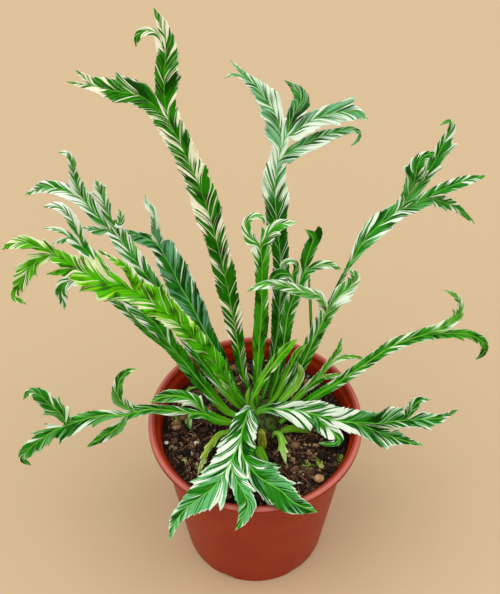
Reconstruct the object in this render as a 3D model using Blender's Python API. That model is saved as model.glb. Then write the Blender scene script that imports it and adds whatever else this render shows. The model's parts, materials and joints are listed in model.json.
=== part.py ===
"""Bird's nest fern with forked, crested and variegated fronds, growing in a 12 cm plastic nursery pot.

Sizes are in millimetres up to the last step, where MM turns them to metres. +Z is up, the viewer stands at
-Y, and the origin is on the table at the middle of the pot's flat underside.
"""

import math

import bpy
import bmesh
import numpy as np
from mathutils import Matrix, Vector

MM = 0.001

# Driving dimensions of the pot
POT_HEIGHT = 109.0
RIM_RADIUS = 60.0
BASE_RADIUS = 41.0
NECK_RADIUS = 55.8
STEP_HEIGHT = 94.0
STEP_DEPTH = 0.7
LIP_HEIGHT = 4.2
LIP_INNER_RADIUS = 56.0
WALL = 1.6
FLOOR = 3.5
POT_SIDES = 48
NOTCHES = 6
NOTCH_WIDTH = 8.5
NOTCH_HEIGHT = 2.0
NOTCH_DEPTH = 3.5
FIRST_NOTCH_DEG = 6.0

# Soil, crown and the clearance left between neighbouring bodies
SOIL_TOP = 97.0
GAP = 0.3
CROWN_CENTRE = (2.0, 7.0)
CROWN_PROFILE = [(13.0, 97.3), (12.2, 101.5), (10.2, 105.6), (7.2, 109.2), (4.0, 110.8)]
CROWN_SIDES = 18

# Blades: thickness, row spacing along the midrib, how far the edges rise, and where the upper faces look
BLADE_THICKNESS = 0.9
ROW_SPACING = 10.0
FOLD = 0.22
FACE = Vector((0.0, -0.65, 0.76)).normalized()

# Colours, sRGB
POT_COLOUR = "A8402A"
SOIL_COLOUR = "2A1D14"
CROWN_COLOUR = "5C5A22"
PETIOLE_COLOUR = "8F8A3C"
DEEP_GREEN = "1F5A1C"
BLUE_GREEN = "3F8468"
BRIGHT_GREEN = "6FAE2E"
PALE_GREEN = "A9C58A"


def seg(points, left=None, right=None):
    """A length of midrib. Each point is x, y, z, left half-width, right half-width; the two children fork
    from its end."""
    return {"points": points, "kids": (left, right)}


# Fronds: each point in millimetres, half-widths as the viewer sees them with the tip away from the crown
FRONDS = {
    "frond_tall_left": (DEEP_GREEN, seg(
        [(-2, 12, 110.8, 1.2, 1.2), (-4, 10, 126, 1.6, 1.6), (-7, 9, 141, 2.2, 2.2),
         (-11, 15, 172, 4.3, 4.3), (-16, 22, 205, 5.4, 5.7), (-22, 30, 234, 6.1, 6.1),
         (-28, 37, 255, 6.5, 6.5), (-36, 43, 275, 6.4, 6.4), (-42, 48, 288, 6.3, 6.3)],
        seg([(-49, 51, 296, 4.3, 5.3), (-57, 53, 301, 4.3, 6.7), (-69, 54, 303, 4.3, 7.0),
             (-79, 54, 306, 2.9, 4.8), (-88, 56, 309, 0.5, 0.5)]),
        seg([(-44, 52, 298, 3.4, 4.8), (-44, 56, 309, 5.3, 7.6), (-43, 60, 319, 4.3, 5.7)],
            seg([(-47, 64, 328, 1.4, 1.4), (-51, 64, 330, 1.9, 1.9), (-54, 64, 328, 1.4, 1.4),
                 (-56, 62, 324, 0.5, 0.5)]),
            seg([(-43, 63, 327, 1.4, 4.2), (-45, 65, 333, 1.4, 3.8), (-48, 69, 341, 0.5, 0.5)])))),
    "frond_back_forked": (BLUE_GREEN, seg(
        [(4, 13, 111.0, 1.2, 1.2), (7, 14, 125, 1.7, 1.7), (9, 16, 138, 2.2, 2.2),
         (12, 22, 159, 3.3, 3.3), (13, 28, 179, 4.3, 4.3), (13, 37, 201, 4.2, 4.2),
         (12, 44, 220, 4.7, 4.7), (10, 51, 235, 6.2, 6.2), (12, 59, 253, 4.1, 4.1)],
        seg([(13, 62, 259, 6.1, 3.0)],
            seg([(12, 66, 268, 7.1, 2.0), (9, 70, 276, 6.0, 5.5), (5, 73, 282, 4.5, 6.5),
                 (0, 76, 287, 3.0, 4.0), (-5, 79, 292, 2.0, 2.0)],
                seg([(-11, 79, 293, 1.0, 1.0), (-16, 78, 290, 0.5, 0.5)]),
                seg([(-9, 80, 296, 1.0, 1.0), (-13, 82, 299, 0.5, 0.5)])),
            seg([(15, 64, 263, 2.0, 2.0)],
                seg([(17, 67, 269, 2.5, 2.5), (20, 70, 276, 4.5, 4.5), (21, 73, 282, 4.5, 4.5),
                     (18, 75, 287, 3.0, 3.0), (14, 77, 290, 0.5, 0.5)]),
                seg([(23, 66, 268, 3.0, 3.0), (32, 69, 272, 4.0, 4.5), (42, 70, 275, 4.5, 5.0),
                     (50, 70, 275, 3.5, 3.5), (57, 68, 271, 0.5, 0.5)]))),
        seg([(21, 61, 257, 3.0, 4.6), (32, 63, 261, 2.5, 5.1), (44, 65, 265, 2.0, 3.0),
             (51, 65, 266, 1.0, 1.5), (52, 64, 262, 1.0, 1.0), (48, 62, 259, 0.5, 0.5)]))),
    "frond_curl_top": (BRIGHT_GREEN, seg(
        [(1, 7.5, 112.2, 1.2, 1.2), (0.5, 5, 127, 1.6, 1.6), (1, 4, 149, 2.2, 2.2),
         (2, 7, 171, 3.4, 3.4), (3, 9, 190, 3.6, 3.6), (3, 12, 210, 2.6, 2.6),
         (3, 14, 225, 3.0, 3.0), (2, 16, 236, 4.5, 4.5)],
        seg([(-4, 17, 242, 2.0, 2.0), (-5, 18, 247, 1.4, 1.4), (-3, 19, 251, 1.4, 1.4),
             (0, 19, 252, 1.2, 1.2), (2, 19, 250, 0.5, 0.5)]),
        seg([(6, 17, 242, 2.5, 2.5), (10, 18, 246, 2.3, 2.3), (14, 19, 249, 2.3, 2.0),
             (20, 18, 249, 0.5, 0.5)]))),
    "frond_dark_broad": (DEEP_GREEN, seg(
        [(-6, 14, 105.8, 1.2, 1.2), (-10, 17, 111, 1.6, 1.6), (-15, 21, 120, 2.8, 2.8),
         (-22, 26, 138, 3.9, 3.9), (-28, 31, 149, 4.4, 4.4), (-35, 37, 162, 4.9, 4.9),
         (-40, 42, 177, 5.4, 4.9), (-47, 48, 190, 4.8, 5.4), (-52, 53, 196, 4.3, 4.8)],
        seg([(-63, 62, 194, 3.8, 2.2), (-73, 71, 187, 0.6, 0.6)]),
        seg([(-53, 54, 206, 2.7, 2.7), (-53, 54, 214, 2.6, 2.6), (-56, 56, 221, 2.1, 2.1),
             (-58, 58, 227, 0.5, 0.5)]))),
    "frond_left_high": (BLUE_GREEN, seg(
        [(-8.5, 10.5, 105.3, 1.2, 1.2), (-15, 13.5, 112, 1.8, 1.8), (-24, 19, 124, 2.8, 2.8),
         (-36, 26, 143, 3.3, 3.3), (-47, 33, 169, 3.8, 3.8), (-57, 38, 184, 4.3, 4.3),
         (-66, 43, 198, 4.8, 4.8), (-71, 46, 206, 4.8, 4.8)],
        seg([(-76, 49, 210, 2.6, 2.6)],
            seg([(-84, 54, 206, 2.1, 2.1), (-94, 60, 201, 0.5, 0.5)]),
            seg([(-82, 52, 217, 3.7, 3.7), (-89, 57, 223, 3.7, 4.2)],
                seg([(-99, 63, 226, 3.2, 3.2), (-112, 70, 222, 3.2, 3.2), (-125, 77, 209, 0.5, 0.5)]),
                seg([(-93, 59, 232, 3.4, 4.0), (-95, 60, 241, 2.6, 2.6), (-94, 59, 250, 2.0, 2.0),
                     (-96, 60, 256, 1.4, 1.4), (-101, 63, 254, 0.5, 0.5)]))),
        seg([(-75, 49, 219, 2.6, 2.6), (-78, 50, 227, 2.6, 2.6), (-80, 51, 236, 2.6, 2.6),
             (-81, 52, 245, 0.5, 0.5)]))),
    "frond_left_twin": (DEEP_GREEN, seg(
        [(-9.5, 6, 104.2, 1.2, 1.2), (-17, 8, 107, 2.2, 2.2), (-30, 13, 125, 3.3, 3.3),
         (-39, 17, 139, 3.9, 3.9)],
        seg([(-49, 20, 149, 1.6, 1.6), (-60, 23, 160, 1.9, 1.9), (-71, 26, 174, 2.1, 2.1),
             (-83, 30, 185, 2.1, 2.1), (-95, 34, 187, 2.1, 2.1), (-103, 36, 180, 3.2, 3.2),
             (-105, 37, 170, 2.7, 2.7), (-105, 37, 160, 0.5, 0.5)]),
        seg([(-48, 19, 155, 4.2, 4.2), (-53, 21, 166, 5.2, 5.2), (-61, 23, 175, 4.3, 4.3),
             (-72, 27, 190, 3.2, 3.2), (-81, 29, 205, 3.1, 3.1), (-89, 32, 215, 3.1, 3.1)],
            seg([(-95, 33, 222, 2.6, 2.1)],
                seg([(-99, 35, 219, 1.5, 1.5), (-106, 37, 213, 0.5, 0.5)]),
                seg([(-101, 35, 226, 1.5, 1.5), (-110, 38, 224, 0.5, 0.5)])),
            seg([(-91, 33, 231, 2.5, 2.5), (-94, 34, 238, 2.5, 2.5), (-99, 35, 243, 2.5, 2.5),
                 (-108, 38, 241, 0.5, 0.5)])))),
    "frond_left_bright": (BRIGHT_GREEN, seg(
        [(-6, 7.5, 109.2, 1.2, 1.2), (-10, 5.5, 119, 1.7, 1.7), (-14, 4, 134, 2.7, 2.7),
         (-23, 3, 160, 4.3, 4.3), (-33, 3, 179, 4.7, 4.7), (-43, 2, 195, 5.7, 5.7),
         (-53, 2, 208, 7.1, 7.1), (-62, 2, 219, 7.0, 7.0)],
        seg([(-73, 1, 225, 7.0, 4.0), (-81, 1, 229, 6.9, 5.9), (-88, 1, 235, 4.4, 5.4)],
            seg([(-94, 1, 232, 2.0, 2.0), (-104, 0, 231, 0.5, 0.5)]),
            seg([(-93, 1, 239, 3.9, 4.4), (-98, 1, 244, 3.4, 3.4)],
                seg([(-104, 0, 243, 2.9, 2.9), (-111, 0, 236, 2.9, 3.4), (-116, 0, 225, 3.0, 3.0),
                     (-120, 0, 215, 2.0, 2.0), (-116, 0, 208, 0.5, 0.5)]),
                seg([(-106, 0, 251, 2.4, 2.4), (-115, 0, 254, 2.4, 2.4), (-123, 0, 249, 0.5, 0.5)]))),
        seg([(-67, 2, 235, 2.0, 2.0), (-77, 1, 248, 0.5, 0.5)]))),
    "frond_small_leaning": (BRIGHT_GREEN, seg(
        [(-0.5, 4.3, 111.2, 1.1, 1.1), (-2, 0.5, 123, 1.2, 1.2), (-1, -2, 134, 1.5, 1.5),
         (4, -1, 148, 2.2, 2.2), (11, 1, 161, 2.7, 2.7), (17, 2, 171, 2.4, 2.4),
         (22, 3, 177, 0.5, 0.5)])),
    "frond_crozier": (DEEP_GREEN, seg(
        [(8, 10.5, 110.2, 1.2, 1.2), (10, 11.5, 122, 1.6, 1.6), (12, 11.5, 133, 2.1, 2.1),
         (15, 12, 160, 2.7, 2.7), (17, 17, 180, 3.2, 3.2), (21, 20, 195, 3.1, 3.1)],
        seg([(19, 23, 203, 2.1, 2.1)],
            seg([(14, 23, 206, 2.0, 2.0), (10, 23, 204, 2.0, 2.0), (6, 22, 198, 0.5, 0.5)]),
            seg([(21, 25, 211, 1.4, 1.4), (19, 26, 215, 1.4, 1.4), (15, 26, 215, 1.2, 1.2),
                 (13, 25, 211, 0.5, 0.5)])),
        seg([(25, 23, 206, 2.6, 2.6)],
            seg([(26, 25, 214, 2.6, 2.1), (28, 27, 221, 2.6, 2.6), (29, 29, 227, 2.3, 2.3),
                 (25, 30, 232, 0.5, 0.5)]),
            seg([(31, 27, 207, 2.1, 2.1), (38, 29, 206, 2.1, 2.1), (45, 30, 201, 0.5, 0.5)])))),
    "frond_loop": (BLUE_GREEN, seg(
        [(12, 10, 107.0, 1.2, 1.2), (16, 11, 120, 1.5, 1.5), (24, 14, 135, 2.2, 2.2),
         (31, 17, 157, 3.3, 3.3), (38, 20, 178, 3.2, 3.2)],
        seg([(34, 18, 193, 2.1, 2.1), (25, 14, 202, 2.6, 2.1), (12, 10, 212, 2.5, 2.0),
             (3, 7, 215, 2.0, 2.0), (-5, 5, 212, 0.5, 0.5)]),
        seg([(43, 22, 188, 2.1, 2.1), (49, 25, 191, 2.1, 2.1), (51, 26, 199, 1.6, 1.6),
             (48, 24, 208, 0.5, 0.5)]))),
    "frond_right_high": (BLUE_GREEN, seg(
        [(10, 14, 106.7, 1.2, 1.2), (13, 15, 118, 1.8, 1.8), (19, 17.5, 132, 2.3, 2.3),
         (31, 25, 151, 2.7, 2.7)],
        seg([(30, 27, 165, 0.8, 0.8), (29, 29, 182, 0.8, 0.8), (28, 31, 198, 0.5, 0.5)]),
        seg([(39, 31, 169, 2.7, 2.7), (48, 37, 192, 2.1, 2.1), (51, 39, 198, 1.6, 1.6),
             (58, 45, 209, 4.7, 4.7), (68, 52, 215, 5.8, 5.8), (75, 57, 217, 4.8, 4.8)],
            seg([(79, 60, 222, 3.2, 2.6)],
                seg([(78, 59, 234, 2.1, 2.1), (78, 59, 244, 2.1, 2.1), (81, 62, 249, 2.1, 2.4),
                     (87, 66, 247, 0.6, 0.6)]),
                seg([(84, 64, 228, 3.2, 3.2), (91, 69, 240, 3.1, 3.1), (97, 73, 250, 2.1, 3.1),
                     (99, 74, 259, 1.5, 1.5), (93, 69, 267, 0.5, 0.5)])),
            seg([(84, 63, 216, 3.2, 4.3), (92, 69, 215, 3.2, 4.3)],
                seg([(102, 77, 214, 3.2, 3.2), (114, 85, 212, 2.7, 3.3), (127, 95, 206, 0.6, 0.6)]),
                seg([(101, 76, 205, 2.7, 3.3), (112, 84, 191, 2.2, 2.2), (125, 93, 170, 0.6, 0.6)]))))),
    "frond_small_upright": (BRIGHT_GREEN, seg(
        [(6, 6.5, 111.6, 1.1, 1.1), (12, 7.8, 121, 1.4, 1.4), (18, 11, 139, 2.1, 2.1),
         (23, 13.5, 152, 2.0, 2.0), (28, 14.5, 158, 0.5, 0.5)])),
    "frond_small_curled": (PALE_GREEN, seg(
        [(9.5, 3.5, 109.3, 1.1, 1.1), (15, 6, 119, 1.8, 1.8), (22, 9, 128, 2.4, 2.4),
         (25, 10, 138, 2.0, 2.0), (23, 9, 149, 0.5, 0.5)])),
    "frond_small_forked": (BRIGHT_GREEN, seg(
        [(12.5, 6, 106.6, 1.1, 1.1), (19, 10, 108, 1.5, 1.5), (28, 18, 112, 2.1, 2.1),
         (37, 22, 120, 2.6, 2.6)],
        seg([(41, 25, 126, 2.2, 1.7)],
            seg([(46, 27, 135, 2.2, 2.2), (48, 29, 146, 0.6, 0.6)]),
            seg([(51, 30, 127, 1.7, 1.7), (63, 36, 118, 0.6, 0.6)])),
        seg([(43, 25, 116, 1.7, 1.7), (51, 29, 113, 0.6, 0.6)]))),
    "frond_right_low": (BRIGHT_GREEN, seg(
        [(13.8, 1.8, 102.8, 1.2, 1.2), (20, 6, 106, 1.8, 1.8), (31, 11, 113, 2.8, 2.8),
         (45, 15, 122, 3.4, 3.4), (59, 18, 134, 3.9, 3.9), (74, 22, 146, 3.9, 3.9),
         (86, 25, 150, 3.8, 3.8), (93, 27, 151, 3.8, 3.8)],
        seg([(103, 29, 155, 3.3, 3.3), (110, 31, 161, 2.7, 2.7), (111, 31, 170, 2.2, 2.2),
             (107, 30, 180, 1.6, 1.6), (100, 29, 186, 0.5, 0.5)]),
        seg([(106, 30, 148, 2.2, 2.2), (118, 33, 144, 2.2, 2.2), (128, 35, 134, 2.3, 2.3),
             (130, 36, 124, 1.7, 1.7), (126, 35, 118, 0.6, 0.6)]))),
    "frond_front": (BLUE_GREEN, seg(
        [(-3, 1, 109.6, 1.4, 1.4), (-3.5, 1.5, 115.5, 2.2, 2.2), (-5, -10, 119, 5.0, 5.6),
         (-8, -21, 119, 7.0, 7.0)],
        seg([(-1, -37, 117, 3.8, 4.3)],
            seg([(7, -39, 117, 2.4, 2.4), (19, -39, 117, 0.5, 0.5)]),
            seg([(7, -48, 116, 2.7, 4.3), (16, -56, 116, 4.3, 4.3), (26, -61, 114, 3.2, 3.2),
                 (34, -63, 110, 0.5, 0.5)])),
        seg([(-12, -31, 118, 4.3, 4.9)],
            seg([(-10, -42, 117, 2.7, 2.7), (-7, -52, 117, 3.2, 3.2), (-5, -60, 114, 3.2, 2.7),
                 (-7, -67, 111, 2.1, 2.1), (-11, -71, 108, 0.5, 0.5)]),
            seg([(-17, -40, 118, 3.8, 4.3), (-26, -50, 116, 4.9, 4.3)],
                seg([(-27, -58, 113, 1.6, 1.6), (-26, -64, 110, 0.5, 0.5)]),
                seg([(-35, -58, 111, 3.8, 3.2), (-43, -64, 105, 2.7, 2.7), (-46, -71, 96, 0.5, 0.5)]))))),
    "frond_right_front": (BLUE_GREEN, seg(
        [(3.5, 1, 111.0, 1.4, 1.4), (3.5, 2.5, 115.5, 1.7, 1.7), (7, 3.5, 118, 2.2, 2.2),
         (13, 2, 119, 2.8, 3.2), (27, 0, 117, 5.0, 4.4)],
        seg([(42, -4, 114, 7.6, 3.9), (55, -7, 116, 7.6, 4.2), (67, -9, 118, 6.4, 4.2)],
            seg([(75, -11, 121, 5.0, 5.0), (80, -12, 123, 4.4, 4.4)],
                seg([(84, -11, 136, 2.7, 2.7), (88, -12, 144, 2.1, 2.1), (94, -13, 144, 0.5, 0.5)]),
                seg([(91, -13, 127, 3.3, 3.3), (100, -14, 132, 2.7, 2.7), (109, -15, 139, 0.5, 0.5)])),
            seg([(72, -12, 107, 3.2, 2.8), (81, -14, 103, 2.2, 1.7), (94, -14, 103, 0.6, 0.6)])),
        seg([(35, -8, 110, 3.2, 3.2), (42, -12, 105, 2.4, 2.4), (50, -13, 107, 0.6, 0.6)]))),
    "frond_left_low": (BRIGHT_GREEN, seg(
        [(-8.5, 1, 102.8, 1.2, 1.2), (-14, 0, 106, 1.7, 1.7), (-21, -1, 110, 2.7, 2.7),
         (-28, -2, 115.5, 2.8, 2.8)],
        seg([(-36, -2.5, 118, 2.7, 2.7)],
            seg([(-37, -4, 112, 1.4, 1.4), (-36, -5, 106, 0.5, 0.5)]),
            seg([(-46, -3, 121, 2.7, 2.7), (-57, -4, 124, 2.5, 2.5), (-66, -6, 124, 2.5, 2.5)],
                seg([(-71, -6, 121, 2.2, 2.2)],
                    seg([(-77, -7, 110, 2.2, 2.2), (-86, -8, 103, 2.2, 2.2), (-95, -10, 96, 0.6, 0.6)]),
                    seg([(-83, -8, 122, 2.7, 2.2), (-94, -9, 120, 2.7, 2.7), (-103, -11, 118, 2.8, 2.8)],
                        seg([(-113, -12, 112, 3.9, 3.9), (-120, -13, 107, 3.9, 3.9),
                             (-128, -14, 98, 3.2, 3.2), (-131, -15, 91, 2.2, 2.2),
                             (-127, -14, 84, 0.6, 0.6)]),
                        seg([(-105, -11, 129, 2.7, 3.3), (-110, -12, 139, 3.2, 3.8),
                             (-115, -12, 148, 2.7, 2.7), (-120, -13, 151, 1.6, 1.6),
                             (-124, -14, 146, 0.5, 0.5)]))),
                seg([(-73, -7, 137, 2.7, 2.7), (-73, -6, 148, 2.1, 2.7), (-63, -5, 162, 0.5, 0.5)]))),
        seg([(-35, -1, 130, 2.4, 2.4), (-45, -3, 139, 2.2, 2.5), (-58, -4, 131, 0.5, 0.5)]))),
    "leaf_speckled": (PALE_GREEN, seg(
        [(-8, -4.5, 98.0, 1.0, 1.0), (-13, -5, 102.5, 1.4, 1.4), (-20, -7, 104, 1.7, 1.7),
         (-26, -16, 104, 1.7, 1.7), (-29, -24, 103, 1.6, 1.6), (-32, -33, 101, 0.5, 0.5)])),
    "leaf_pale": (PALE_GREEN, seg(
        [(9.5, -5, 98.6, 1.0, 1.0), (11, -5, 102.5, 1.6, 1.6), (14, -8, 104, 2.1, 2.1),
         (15, -16, 103, 2.1, 2.1), (17, -25, 101, 0.6, 0.6)])),
    "leaf_olive": (DEEP_GREEN, seg(
        [(13.5, -2.5, 98.6, 1.0, 1.0), (16, -2.5, 101.5, 1.5, 1.5), (21, -2, 103, 2.0, 2.0),
         (26, -2, 102, 2.0, 2.0), (31, -3, 100, 0.6, 0.6)])),
    "leaf_small_front": (DEEP_GREEN, seg(
        [(1.5, -13.5, 98.3, 1.0, 1.0), (2, -15, 101, 1.5, 1.5), (4, -21, 101, 1.6, 1.6),
         (7, -27, 99.5, 0.5, 0.5)])),
    "leaf_young": (PALE_GREEN, seg(
        [(-4, 6.5, 110.7, 1.0, 1.0), (-4.5, 4.2, 119, 1.1, 1.1), (-4.5, 3, 127, 1.2, 1.2),
         (-3.5, 2.5, 135, 0.5, 0.5)])),
}

# Pebbles on the soil: x, y, radius, colour
PEBBLES = {
    "pebble_grey": (-36, -16, 2.2, "8D8C86"),
    "pebble_tan": (35, -33, 2.8, "B58A5A"),
    "pebble_green": (30.5, -28, 1.9, "A9B45F"),
}


def srgb(hex_text):
    """Linear RGBA of an sRGB hex colour."""
    channels = [int(hex_text[i:i + 2], 16) / 255 for i in (0, 2, 4)]
    linear = [c / 12.92 if c <= 0.04045 else ((c + 0.055) / 1.055) ** 2.4 for c in channels]
    return (*linear, 1.0)


def material(name, hex_text, roughness):
    """A matt or glossy dielectric of one colour."""
    made = bpy.data.materials.new(name)
    made.use_nodes = True
    shader = made.node_tree.nodes["Principled BSDF"]
    shader.inputs["Base Color"].default_value = srgb(hex_text)
    shader.inputs["Roughness"].default_value = roughness
    shader.inputs["Metallic"].default_value = 0.0
    return made


def add_object(name, points, faces, shade, smooth=True):
    """A mesh object from millimetre points, with outward faces."""
    mesh = bpy.data.meshes.new(name)
    mesh.from_pydata([Vector(p) * MM for p in points], [], faces)
    work = bmesh.new()
    work.from_mesh(mesh)
    bmesh.ops.recalc_face_normals(work, faces=work.faces)
    work.to_mesh(mesh)
    work.free()
    for face in mesh.polygons:
        face.use_smooth = smooth
    mesh.materials.append(shade)
    obj = bpy.data.objects.new(name, mesh)
    bpy.context.collection.objects.link(obj)
    return obj


def lathe(profile, sides, centre=(0.0, 0.0)):
    """Points and faces of a closed profile turned round the vertical; a radius of 0 becomes one point."""
    points = []
    rings = []
    for radius, height in profile:
        if radius == 0:
            rings.append([len(points)] * sides)
            points.append((centre[0], centre[1], height))
            continue
        rings.append(list(range(len(points), len(points) + sides)))
        for i in range(sides):
            angle = 2 * math.pi * i / sides
            across, away = radius * math.cos(angle), radius * math.sin(angle)
            points.append((centre[0] + across, centre[1] + away, height))
    faces = []
    for low, high in zip(rings, rings[1:]):
        for i in range(sides):
            j = (i + 1) % sides
            corners = []
            for corner in (low[i], low[j], high[j], high[i]):
                if corner not in corners:
                    corners.append(corner)
            faces.append(corners)
    return points, faces


def wall_radius(height):
    """Outer radius of the pot's tapered wall."""
    return BASE_RADIUS + (NECK_RADIUS - BASE_RADIUS) * height / POT_HEIGHT


def pot_profile():
    """Radius and height from the middle of the underside, up the outside, over the lip and down inside."""
    lip_low = POT_HEIGHT - LIP_HEIGHT
    step = wall_radius(STEP_HEIGHT)
    return [
        (0, 0),
        (BASE_RADIUS - 0.8, 0),
        (BASE_RADIUS, 0.8),
        (wall_radius(3.0), 3.0),
        (step - STEP_DEPTH, STEP_HEIGHT - 0.4),
        (step + 0.1, STEP_HEIGHT + 0.4),
        (wall_radius(lip_low) + 0.1, lip_low),
        (RIM_RADIUS - 0.9, lip_low + 0.1),
        (RIM_RADIUS, lip_low + 1.1),
        (RIM_RADIUS, POT_HEIGHT - 1.3),
        (RIM_RADIUS - 1.1, POT_HEIGHT - 0.2),
        (RIM_RADIUS - 2.2, POT_HEIGHT),
        (LIP_INNER_RADIUS + 0.6, POT_HEIGHT - 0.5),
        (LIP_INNER_RADIUS - 0.4, lip_low + 1.0),
        (wall_radius(lip_low) - WALL, lip_low - 1.0),
        (wall_radius(FLOOR) - WALL, FLOOR),
        (0, FLOOR),
    ]


def make_pot():
    """Tapered pot with a rolled lip, a faint step under it and drain notches in its bottom edge."""
    points, faces = lathe(pot_profile(), POT_SIDES)
    pot = add_object("pot", points, faces, material("pot_plastic", POT_COLOUR, 0.42))
    for i in range(NOTCHES):
        angle = math.radians(FIRST_NOTCH_DEG) + 2 * math.pi * i / NOTCHES
        bpy.ops.mesh.primitive_cube_add(size=1.0)
        cutter = bpy.context.object
        cutter.name = f"notch_{i + 1}"
        size = Vector((2 * NOTCH_DEPTH, NOTCH_WIDTH, 2 * NOTCH_HEIGHT)) * MM
        cutter.data.transform(Matrix.Diagonal((*size, 1.0)))
        radius = BASE_RADIUS * MM
        cutter.location = (radius * math.cos(angle), radius * math.sin(angle), 0.0)
        cutter.rotation_euler = (0.0, 0.0, angle)
        cutter.display_type = "WIRE"
        cutter.hide_render = True
        cut = pot.modifiers.new(cutter.name, "BOOLEAN")
        cut.operation = "DIFFERENCE"
        cut.object = cutter
    return pot


def make_soil():
    """Peat that fills the pot up to 12 mm under the rim."""
    bottom = FLOOR + GAP
    inner = WALL + GAP / math.cos(math.pi / POT_SIDES) + 0.1
    profile = [
        (0, bottom),
        (wall_radius(bottom) - inner, bottom),
        (wall_radius(SOIL_TOP - 1.0) - inner, SOIL_TOP - 1.0),
        (wall_radius(SOIL_TOP) - inner - 1.0, SOIL_TOP),
        (0, SOIL_TOP),
    ]
    points, faces = lathe(profile, POT_SIDES)
    return add_object("soil", points, faces, material("peat", SOIL_COLOUR, 0.95))


def make_crown():
    """Low dome of rhizome from which the fronds rise."""
    profile = [(0, CROWN_PROFILE[0][1])] + CROWN_PROFILE + [(0, 111.4)]
    points, faces = lathe(profile, CROWN_SIDES, CROWN_CENTRE)
    return add_object("crown", points, faces, material("rhizome", CROWN_COLOUR, 0.7))


def make_petiole():
    """Thick olive stalk that stands in front of the crown."""
    foot, head = Vector((4.0, -10.2, 97.3)), Vector((3.2, -7.6, 108.5))
    points, faces = lathe([(0, 0), (2.5, 0.0), (2.6, 3.0), (2.1, 10.2), (1.2, 11.2), (0, 11.4)], 10)
    lean = (head - foot) / (head - foot).z
    moved = [foot + Vector((p[0], p[1], 0)) + lean * p[2] for p in points]
    return add_object("petiole_stub", moved, faces, material("petiole", PETIOLE_COLOUR, 0.5))


def make_pebble(name, x, y, radius, colour):
    """A small flattened stone resting on the soil."""
    work = bmesh.new()
    bmesh.ops.create_icosphere(work, subdivisions=2, radius=1.0)
    squash = Vector((radius, radius * 0.85, radius * 0.7))
    points = [
        (x + v.co.x * squash.x, y + v.co.y * squash.y, SOIL_TOP + GAP + squash.z + v.co.z * squash.z)
        for v in work.verts
    ]
    faces = [[v.index for v in face.verts] for face in work.faces]
    work.free()
    return add_object(name, points, faces, material(name, colour, 0.8))


def spline(points, before):
    """Rows at equal steps along a smooth curve through the points, entered as if coming from before."""
    known = np.array(points, float)
    ghost = known[0] if before is None else np.array([*before, *known[0, 3:]])
    last = 2 * known[-1] - known[-2]
    padded = np.vstack([ghost if before is not None else 2 * known[0] - known[1], known, last])
    fine = []
    for i in range(1, len(padded) - 2):
        a, b, c, d = padded[i - 1:i + 3]
        for t in np.arange(0, 1, 1 / 8):
            place = 0.5 * ((2 * b) + (c - a) * t + (2 * a - 5 * b + 4 * c - d) * t**2
                           + (3 * b - a - 3 * c + d) * t**3)
            place[3:] = b[3:] + (c[3:] - b[3:]) * t
            fine.append(place)
    fine.append(known[-1])
    fine = np.array(fine)
    along = np.concatenate([[0], np.cumsum(np.linalg.norm(np.diff(fine[:, :3], axis=0), axis=1))])
    rows = max(len(points) - 1, 2, round(along[-1] / ROW_SPACING))
    wanted = np.linspace(0, along[-1], rows + 1)
    return np.stack([np.interp(wanted, along, fine[:, k]) for k in range(5)], axis=1)


class Sheet:
    """The mid-surface of one frond: rows of left edge, midrib and right edge, shared where it forks."""

    def __init__(self):
        self.points = []
        self.faces = []

    def add(self, place):
        self.points.append(tuple(place))
        return len(self.points) - 1

    def bridge(self, row, following):
        for side in (0, 1):
            corners = []
            for corner in (row[side], row[side + 1], following[side + 1], following[side]):
                if corner not in corners:
                    corners.append(corner)
            if len(corners) > 2:
                self.faces.append(corners)

    def rows_of(self, part, start, before):
        """Left edge, midrib and right edge of every row of a segment, as places."""
        points = part["points"] if start is None else [start, *part["points"]]
        rows = spline(points, before)
        places = []
        for i, row in enumerate(rows):
            ahead = rows[min(i + 1, len(rows) - 1), :3] - rows[max(i - 1, 0), :3]
            side = Vector(ahead).cross(FACE).normalized()
            normal = side.cross(Vector(ahead)).normalized()
            middle = Vector(row[:3])
            left = middle - side * row[3] + normal * (FOLD * row[3])
            right = middle + side * row[4] + normal * (FOLD * row[4])
            places.append((left, middle, right))
        return rows, places

    def grow(self, part):
        """The whole frond from its lowest segment."""
        rows, places = self.rows_of(part, None, None)
        first = [self.add(place) for place in places[0]]
        last = self.fill(first, places[1:], None, None)
        self.fork(part, last, rows)

    def fill(self, row, places, shared_side, shared):
        """Adds rows one after another and returns the last. A shared vertex closes the web of a fork."""
        for i, place in enumerate(places):
            following = [self.add(p) if not (i == 0 and k == shared_side) else shared
                         for k, p in enumerate(place)]
            self.bridge(row, following)
            row = following
        return row

    def fork(self, part, row, rows):
        left, right = part["kids"]
        if left is None:
            return
        end, before = rows[-1], rows[-2, :3]
        left_rows, left_places = self.rows_of(left, (*end[:3], end[3], 0.0), before)
        right_rows, right_places = self.rows_of(right, (*end[:3], 0.0, end[4]), before)
        web = self.add((left_places[1][1] + right_places[1][1]) / 2)
        self.fork(left, self.fill([row[0], row[1], row[1]], left_places[1:], 2, web), left_rows)
        self.fork(right, self.fill([row[1], row[1], row[2]], right_places[1:], 0, web), right_rows)


def make_frond(name, colour, root):
    """One frond, forked blades and all, as a single closed body."""
    sheet = Sheet()
    sheet.grow(root)
    frond = add_object(name, sheet.points, sheet.faces, material(name, colour, 0.4))
    skin = frond.modifiers.new("thickness", "SOLIDIFY")
    skin.thickness = BLADE_THICKNESS * MM
    skin.offset = 0.0
    return frond


def main():
    for obj in list(bpy.data.objects):
        bpy.data.objects.remove(obj)
    make_pot()
    make_soil()
    make_crown()
    make_petiole()
    for name, (colour, root) in FRONDS.items():
        make_frond(name, colour, root)
    for name, (x, y, radius, colour) in PEBBLES.items():
        make_pebble(name, x, y, radius, colour)


main()
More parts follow.
